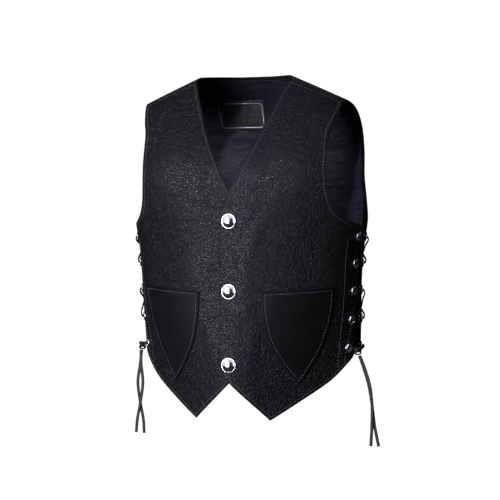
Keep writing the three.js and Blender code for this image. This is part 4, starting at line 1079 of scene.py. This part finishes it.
def nickel():
    """Bright polished nickel with a very fine unevenness from the barrel polishing."""
    material, node = node_maker("polished_nickel")
    where = node("TexCoord").outputs["Object"]
    wear = node("TexNoise", None, Vector=where, Scale=260, Detail=4).outputs["Fac"]
    bump = node("Bump", None, Strength=0.12, Distance=0.0001, Height=wear)
    finished(node, Base_Color=tone(node, wear, (0.86, 0.86, 0.87), (0.95, 0.95, 0.96)), Metallic=1.0,
             Roughness=ramp(node, wear, 0.3, 0.7, 0.15, 0.21), Normal=bump.outputs["Normal"])
    return material


def lathe(profile, centre, axis, sides=64, ring=False):
    """A profile of (radius, height) carried round an axis. It starts and ends on the axis, or it is a
    ring and closes on itself."""
    profile = np.asarray(profile, float)
    aside = unit(np.cross(axis, (0.0, 0.1, 1.0)))
    other = np.cross(axis, aside)
    turn = np.linspace(0, 2 * np.pi, sides + 1)[:-1, None]
    way = np.cos(turn) * aside + np.sin(turn) * other
    body = profile if ring else profile[1:-1]
    points = (centre + body[:, None, :1] * way[None] + body[:, None, 1:] * axis).reshape(-1, 3)
    count = len(body)
    i = np.arange(count if ring else count - 1)[:, None]
    j = np.arange(sides)[None]
    near, far = i * sides, ((i + 1) % count) * sides
    nxt = (j + 1) % sides
    faces = [np.stack([near + j, far + j, far + nxt, near + nxt], -1).reshape(-1, 4)]
    if not ring:
        ends = centre + profile[[0, -1], 1:] * axis
        points = np.concatenate([points, ends])
        low, high = len(points) - 2, len(points) - 1
        j, nxt = j[0], nxt[0]
        last = (count - 1) * sides
        faces += [np.stack([np.full(sides, low), j, nxt], -1),
                  np.stack([last + j, np.full(sides, high), last + nxt], -1)]
    return points, faces


def outside_in(points, faces):
    """Faces turned round where they enclose a volume below nothing."""
    volume = 0.0
    for group in faces:
        a = points[group[:, 0]]
        for k in range(1, group.shape[1] - 1):
            volume += (a * np.cross(points[group[:, k]], points[group[:, k + 1]])).sum()
    return points, faces if volume > 0 else [f[:, ::-1] for f in faces]


NICKEL = nickel()
AHEAD = np.array([0.0, -1.0, 0.0])
# How far the caps sit ahead of the form at the centre front, and the studs behind it
CAP_AHEAD, STUD_BEHIND = LAP_STEP + GAP * 0.5, LAP_STEP + LEATHER_THICK + GAP * 1.5
for number, z in enumerate(SNAP_HEIGHTS, 1):
    face = form("front", 0.0, z - CHEST_Z)
    cap = outside_in(*lathe(CAP_PROFILE, face + AHEAD * CAP_AHEAD, AHEAD, 72))
    stud = outside_in(*lathe(STUD_PROFILE, face - AHEAD * STUD_BEHIND, -AHEAD, 48))
    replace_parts(piece_of(f"snap_dome_{number}", *cap, NICKEL, "nickel"), f"snap_cap_{number}")
    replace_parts(piece_of(f"snap_stud_{number}", *stud, NICKEL, "nickel"), f"snap_back_{number}")

# Eyelets: nickel tubes with a domed flange outside, set through the leather and rolled over inside,
# five along each of the four laced edges
EYELET_PROFILE = [(6.2, 0.15), (6.15, 0.5), (5.65, 1.0), (4.9, 1.38), (4.15, 1.5), (3.55, 1.25),
                  (3.28, 0.7), (3.25, -0.5), (3.25, -1.8), (3.3, -2.5), (3.6, -2.95), (4.3, -3.1),
                  (4.95, -2.75), (5.2, -2.3), (4.6, -2.2), (3.95, -2.15), (3.95, -1.0), (3.95, 0.1),
                  (5.2, 0.1)]
for half in ("front", "back"):
    for word, side in SIDES:
        rings = [lathe(EYELET_PROFILE, point * (side, 1, 1), axis * (side, 1, 1), 40, ring=True)
                 for point, axis in zip(*eyelet_seats(half))]
        rings = [outside_in(*ring) for ring in rings]
        eyelets = piece_of(f"eyelets_{half}_{word}", *joined(rings), NICKEL, "nickel")
        for row in range(1, 6):
            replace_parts(eyelets, f"eyelet_{half}_{word}_{row}")

# Laces: one flat thong for each side, run through all ten eyelets and back to its knot. It crosses
# outside between rows 1 and 2 and rows 3 and 4, and inside between the others.
FRONT_ROW, BACK_ROW = -(FRONT_EDGE + EYELET_INSET), BACK_EDGE + EYELET_INSET
LACE_OUT, LACE_IN = 4.0, -LEATHER_THICK - 3.8
BORE_TOP, BORE_BOTTOM = 1.5, -LEATHER_THICK - 1.2
# How far each of two crossing spans moves off the middle between them, how far from its eyelet a
# span has turned level, and how much one that is taut over the open side falls short of the form
CROSS_STEP, LACE_TURN, TAUT_BY = 1.3, 4.9, 3.4
KNOT = {"across": -12.5, "z": -336, "lift": 5.6, "wide": 7.0, "high": 6.5, "deep": 4.6}
LACE_STOPS = [("front", 5), ("back", 4), ("front", 3), ("back", 2), ("front", 1), ("back", 1),
              ("front", 2), ("back", 3), ("front", 4), ("back", 5)]


def beside_side(across, z, lift):
    """A place by the side line and the way out there: across is ahead of the line below 0."""
    half = "front" if across < 0 else "back"
    share, up = at_side(half, max(abs(across), 1.0), z)
    return lifted(half, share, up, lift), outward(half, share, up)


def lace_route():
    """(across, z, lift, eyelets passed) of the lace's places, from the knot and back to it."""
    stops = [(FRONT_ROW if half == "front" else BACK_ROW, EYELET_HEIGHTS[row - 1])
             for half, row in LACE_STOPS]
    (x, z), last = stops[0], stops[-1]
    route = [(KNOT["across"] - KNOT["wide"] + 1.4, KNOT["z"] + 1, KNOT["lift"], 0),
             (x + 0.8, z, LACE_OUT, 0)]
    for i, (x, z) in enumerate(stops):
        going_in = i % 2 == 0
        route += [(x, z, BORE_TOP if going_in else BORE_BOTTOM, i),
                  (x, z, BORE_BOTTOM if going_in else BORE_TOP, i + 1)]
        if i == len(stops) - 1:
            break
        nx, nz = stops[i + 1]
        lift = LACE_IN if going_in else LACE_OUT
        step = 0 if i == 4 else (-1 if i < 5 else 1) * CROSS_STEP * math.copysign(1, lift)
        span = math.hypot(nx - x, nz - z)
        for t, rise in ((LACE_TURN / span, 0), (0.32, 0.6), (0.5, 1), (0.68, 0.6),
                        (1 - LACE_TURN / span, 0)):
            at = x + (nx - x) * t
            taut = TAUT_BY * max(0.0, 1 - (at / 17) ** 2)
            route.append((at, z + (nz - z) * t, lift + step * rise - taut, i + 1))
    route += [(last[0] - LACE_TURN, last[1], LACE_OUT, 10),
              (6, (last[1] + KNOT["z"]) / 2, LACE_OUT - 2.0, 10),
              (KNOT["across"] + KNOT["wide"] - 1.4, KNOT["z"] + 0.5, KNOT["lift"], 10)]
    return route


def smoothed(rows, reach):
    """Rows blended with their neighbours by a bell curve."""
    padded = np.concatenate([np.repeat(rows[:1], 3 * reach, 0), rows,
                             np.repeat(rows[-1:], 3 * reach, 0)])
    return sum(w * padded[k:k + len(rows)] for k, w in enumerate(bell(reach)))


route = lace_route()
places = [beside_side(across, z, lift) for across, z, lift, _ in route]
knots = np.array([place for place, _ in places])
path = curve(knots, np.linspace(0, 1, 1100))
nearest = np.linalg.norm(path[:, None] - knots[None], axis=2).argmin(0)
out_way = unit(np.stack([np.interp(np.arange(len(path)), nearest, column)
                         for column in np.array([way for _, way in places]).T], 1))
passed = np.interp(np.arange(len(path)), nearest, [row[3] for row in route])
wide_way = np.cross(along(path), out_way)
flatness = np.linalg.norm(wide_way, axis=1, keepdims=True)
wide_way = smoothed(wide_way * flatness * np.where(np.round(passed) % 2, -1, 1)[:, None], 7)
for word, side in SIDES:
    points, faces = on_side(side, *strip(path, wide_way, THONG_WIDE, THONG_THICK))
    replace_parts(piece_of(f"side_lace_{word}", points, faces, THONG, "thong"), f"lace_{word}")

# Knots: each thong's two ends tied together in a tight overhand knot below the last eyelets. A
# closed trefoil stands for it, with the thong a little narrower and thicker than where it lies flat.
KNOT_WIDE, KNOT_THICK = THONG_WIDE * 0.92, THONG_THICK * 1.25
turn = np.linspace(0, 2 * np.pi, 241)[:-1, None]
lobes = np.hstack([np.sin(turn) + 2 * np.sin(2 * turn), -np.sin(3 * turn) * 1.1,
                   np.cos(turn) - 2 * np.cos(2 * turn)])
middle, out_way = beside_side(KNOT["across"], KNOT["z"], KNOT["lift"])
ahead_way = unit(np.cross((0, 0, 1.0), out_way))
up_way = np.cross(out_way, ahead_way)
reach = (KNOT["wide"] - 1.5) / 2.75, (KNOT["deep"] - 1.9), (KNOT["high"] - 1.4) / 3
path = middle + lobes[:, :1] * reach[0] * ahead_way + lobes[:, 1:2] * reach[1] * out_way + (
    lobes[:, 2:] * reach[2] * up_way)
wide_way = np.cross(along(path, closed=True), unit(path - middle))
for word, side in SIDES:
    points, faces = on_side(side, *strip(path, wide_way, KNOT_WIDE, KNOT_THICK, closed=True))
    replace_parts(piece_of(f"lace_knot_{word}", points, faces, THONG, "thong"), f"knot_{word}")

# Neck label: a plain woven patch with one raised border line, and a small plain tab under it, both
# sewn on the lining a little to the wearer's right of the middle
LABEL = {"x": -32, "z": -24, "wide": 66, "high": 40}
TAB = {"x": -34, "z": -49, "wide": 15, "high": 8}
LABEL_LIFT, LABEL_THICK = -4.75, 0.5
# The border line: how far inside the label's edge it runs, its width and thickness, and how far its
# middle stands off the label's face
BORDER_IN, BORDER_WIDE, BORDER_THICK, BORDER_OFF = 3.4, 0.9, 0.2, 0.06


def woven_cloth(name, colour, scale):
    """Damask label cloth: close ribs one way and floats the other."""
    material, node = node_maker(name)
    where = node("TexCoord").outputs["Object"]
    ribs = node("TexWave", {"bands_direction": "X"}, Vector=where, Scale=scale).outputs["Fac"]
    floats = node("TexWave", {"bands_direction": "Z"}, Vector=where, Scale=scale * 0.7).outputs["Fac"]
    ribbed = node("Bump", None, Strength=0.3, Distance=0.0001, Height=ribs).outputs["Normal"]
    cloth = node("Bump", None, Strength=0.3, Distance=0.0001, Height=floats, Normal=ribbed)
    dim = tuple(c * 0.6 for c in colour)
    finished(node, Base_Color=tone(node, ribs, dim, colour), Roughness=0.7, Sheen_Weight=0.1,
             Normal=cloth.outputs["Normal"])
    return material


def on_lining(x, z, lift, paired=False):
    """Points straight behind places in x and z, at a height from the back's form: a grid of every x
    with every z, or a line where they are paired."""
    share = np.interp(np.abs(x), SHEETS["back"][0][-LOW_UP, :, 0], SHARES)
    ups = np.arange(160.0)
    heights = form("back", share[:, None], ups[None])[..., 2]
    up = np.stack([np.interp(z, row, ups) for row in heights])
    share, sign = np.broadcast_to(share[:, None], up.shape), np.where(x < 0, -1, 1)[:, None]
    if paired:
        share, up, sign = share[:, 0], up.diagonal(), sign[:, 0]
    points = lifted("back", share, up, lift)
    points[..., 0] *= sign
    return points


def frame_line(size, inset, count=60):
    """A closed rectangle of points with rounded corners, as a superellipse of power 12."""
    turn = np.linspace(0, 2 * np.pi, 4 * count + 1)[:-1]
    a = np.sign(np.cos(turn)) * np.abs(np.cos(turn)) ** (1 / 6)
    b = np.sign(np.sin(turn)) * np.abs(np.sin(turn)) ** (1 / 6)
    return (size["x"] + a * (size["wide"] / 2 - inset), size["z"] + b * (size["high"] / 2 - inset))


LABEL_BLACK = woven_cloth("label_black", (0.012, 0.012, 0.014), 1600)
LABEL_SILVER = woven_cloth("label_silver", (0.42, 0.42, 0.44), 2400)
for name, cad_name, size in (("woven_label", "neck_label", LABEL), ("label_tab", "neck_tab", TAB)):
    x = size["x"] + size["wide"] * np.linspace(-0.5, 0.5, 45)
    z = size["z"] + size["high"] * np.linspace(-0.5, 0.5, 29)
    points, faces, _ = shell(on_lining(x, z, LABEL_LIFT - LABEL_THICK), on_lining(x, z, LABEL_LIFT), 0)
    patch = piece_of(name, points, faces, LABEL_BLACK, "woven_label")
    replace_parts(patch, cad_name)
border_x, border_z = frame_line(LABEL, BORDER_IN)
border = on_lining(border_x, border_z, LABEL_LIFT - LABEL_THICK - BORDER_OFF, paired=True)
border_way = np.cross(along(border, closed=True), (0, 1.0, 0))
points, faces = strip(border, border_way, BORDER_WIDE, BORDER_THICK, closed=True)
piece_of("label_border", points, faces, LABEL_SILVER, "woven_label")

# Floor and light: a pale bowl, floor and wall in one, evenly lit all round and far enough off that the
# leather doesn't mirror it. One broad soft light stands ahead, to the viewer's left, a weak one on the
# right, and one high behind. Three white cards light the metal only, and the neck light the lining.
def pale_card():
    """Matt white card with light behind it, as a light table has."""
    material, node = node_maker("pale_card")
    finished(node, Base_Color=(0.8, 0.8, 0.8, 1), Roughness=0.9, Emission_Color=(1, 1, 1, 1),
             Emission_Strength=1.0)
    return material


FLOOR_Z, BOWL, SWEEP = -0.72, 5.0, 1.5
turn = np.linspace(0, math.pi / 2, 16)
bowl_profile = [(0, FLOOR_Z * 1000)] + [
    ((BOWL - SWEEP + SWEEP * math.sin(t)) * 1000, (FLOOR_Z + SWEEP - SWEEP * math.cos(t)) * 1000)
    for t in turn] + [(BOWL * 1000, 4000), (0, 6000)]
points, faces = lathe(bowl_profile, np.zeros(3), np.array([0.0, 0.0, 1.0]), 96)
floor = object_of("floor", points, faces, pale_card())
floor.visible_glossy = False
floor.visible_diffuse = False
floor.visible_shadow = False
floor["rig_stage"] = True


def soft_light(name, place, aim, wide, high, watts):
    """A rectangular softbox at a place, turned towards a point."""
    data = bpy.data.lights.new(name, "AREA")
    data.shape = "RECTANGLE"
    data.size, data.size_y, data.energy = wide, high, watts
    data.color = (0.82, 0.81, 1.0)
    light = bpy.data.objects.new(name, data)
    light.location = place
    way = Vector(aim) - Vector(place)
    light.rotation_euler = way.to_track_quat("-Z", "Y").to_euler()
    bpy.context.scene.collection.objects.link(light)
    return light


soft_light("key", (-0.78, -1.95, 0.05), (0, 0, -0.22), 1.1, 1.8, 62)
soft_light("fill", (1.9, -1.3, 0.4), (0, 0, -0.2), 0.5, 1.4, 0.4)
soft_light("back", (0.5, 2.4, 0.6), (0, 0, -0.2), 1.4, 1.0, 3)
neck = soft_light("neck", (0.05, -1.3, 1.2), (-0.01, 0.07, -0.07), 0.4, 0.4, 1.0)
neck.data.spread = math.radians(8)
metal, inside = bpy.data.collections.new("metal"), bpy.data.collections.new("inside")
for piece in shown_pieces():
    if piece["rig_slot"] == "nickel":
        metal.objects.link(piece)
    if piece["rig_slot"] in ("satin", "woven_label"):
        inside.objects.link(piece)
neck.light_linking.receiver_collection = inside
for card in (soft_light("left_card", (-1.7, -0.9, 0.5), (0, 0, -0.3), 2.0, 2.4, 15),
             soft_light("right_card", (1.9, -0.9, 0.2), (0.1, 0, -0.3), 1.0, 2.0, 16),
             soft_light("top_card", (0, -1.1, 1.6), (0, 0, -0.3), 3.0, 1.6, 13)):
    card.light_linking.receiver_collection = metal
world = bpy.data.worlds.new("sky")
world.use_nodes = True
world.node_tree.nodes["Background"].inputs["Color"].default_value = (1, 1, 1, 1)
world.node_tree.nodes["Background"].inputs["Strength"].default_value = 0.02
bpy.context.scene.world = world
bpy.context.scene.view_settings.view_transform = "Standard"

# Bring the scene's placements up to date
bpy.context.view_layer.update()
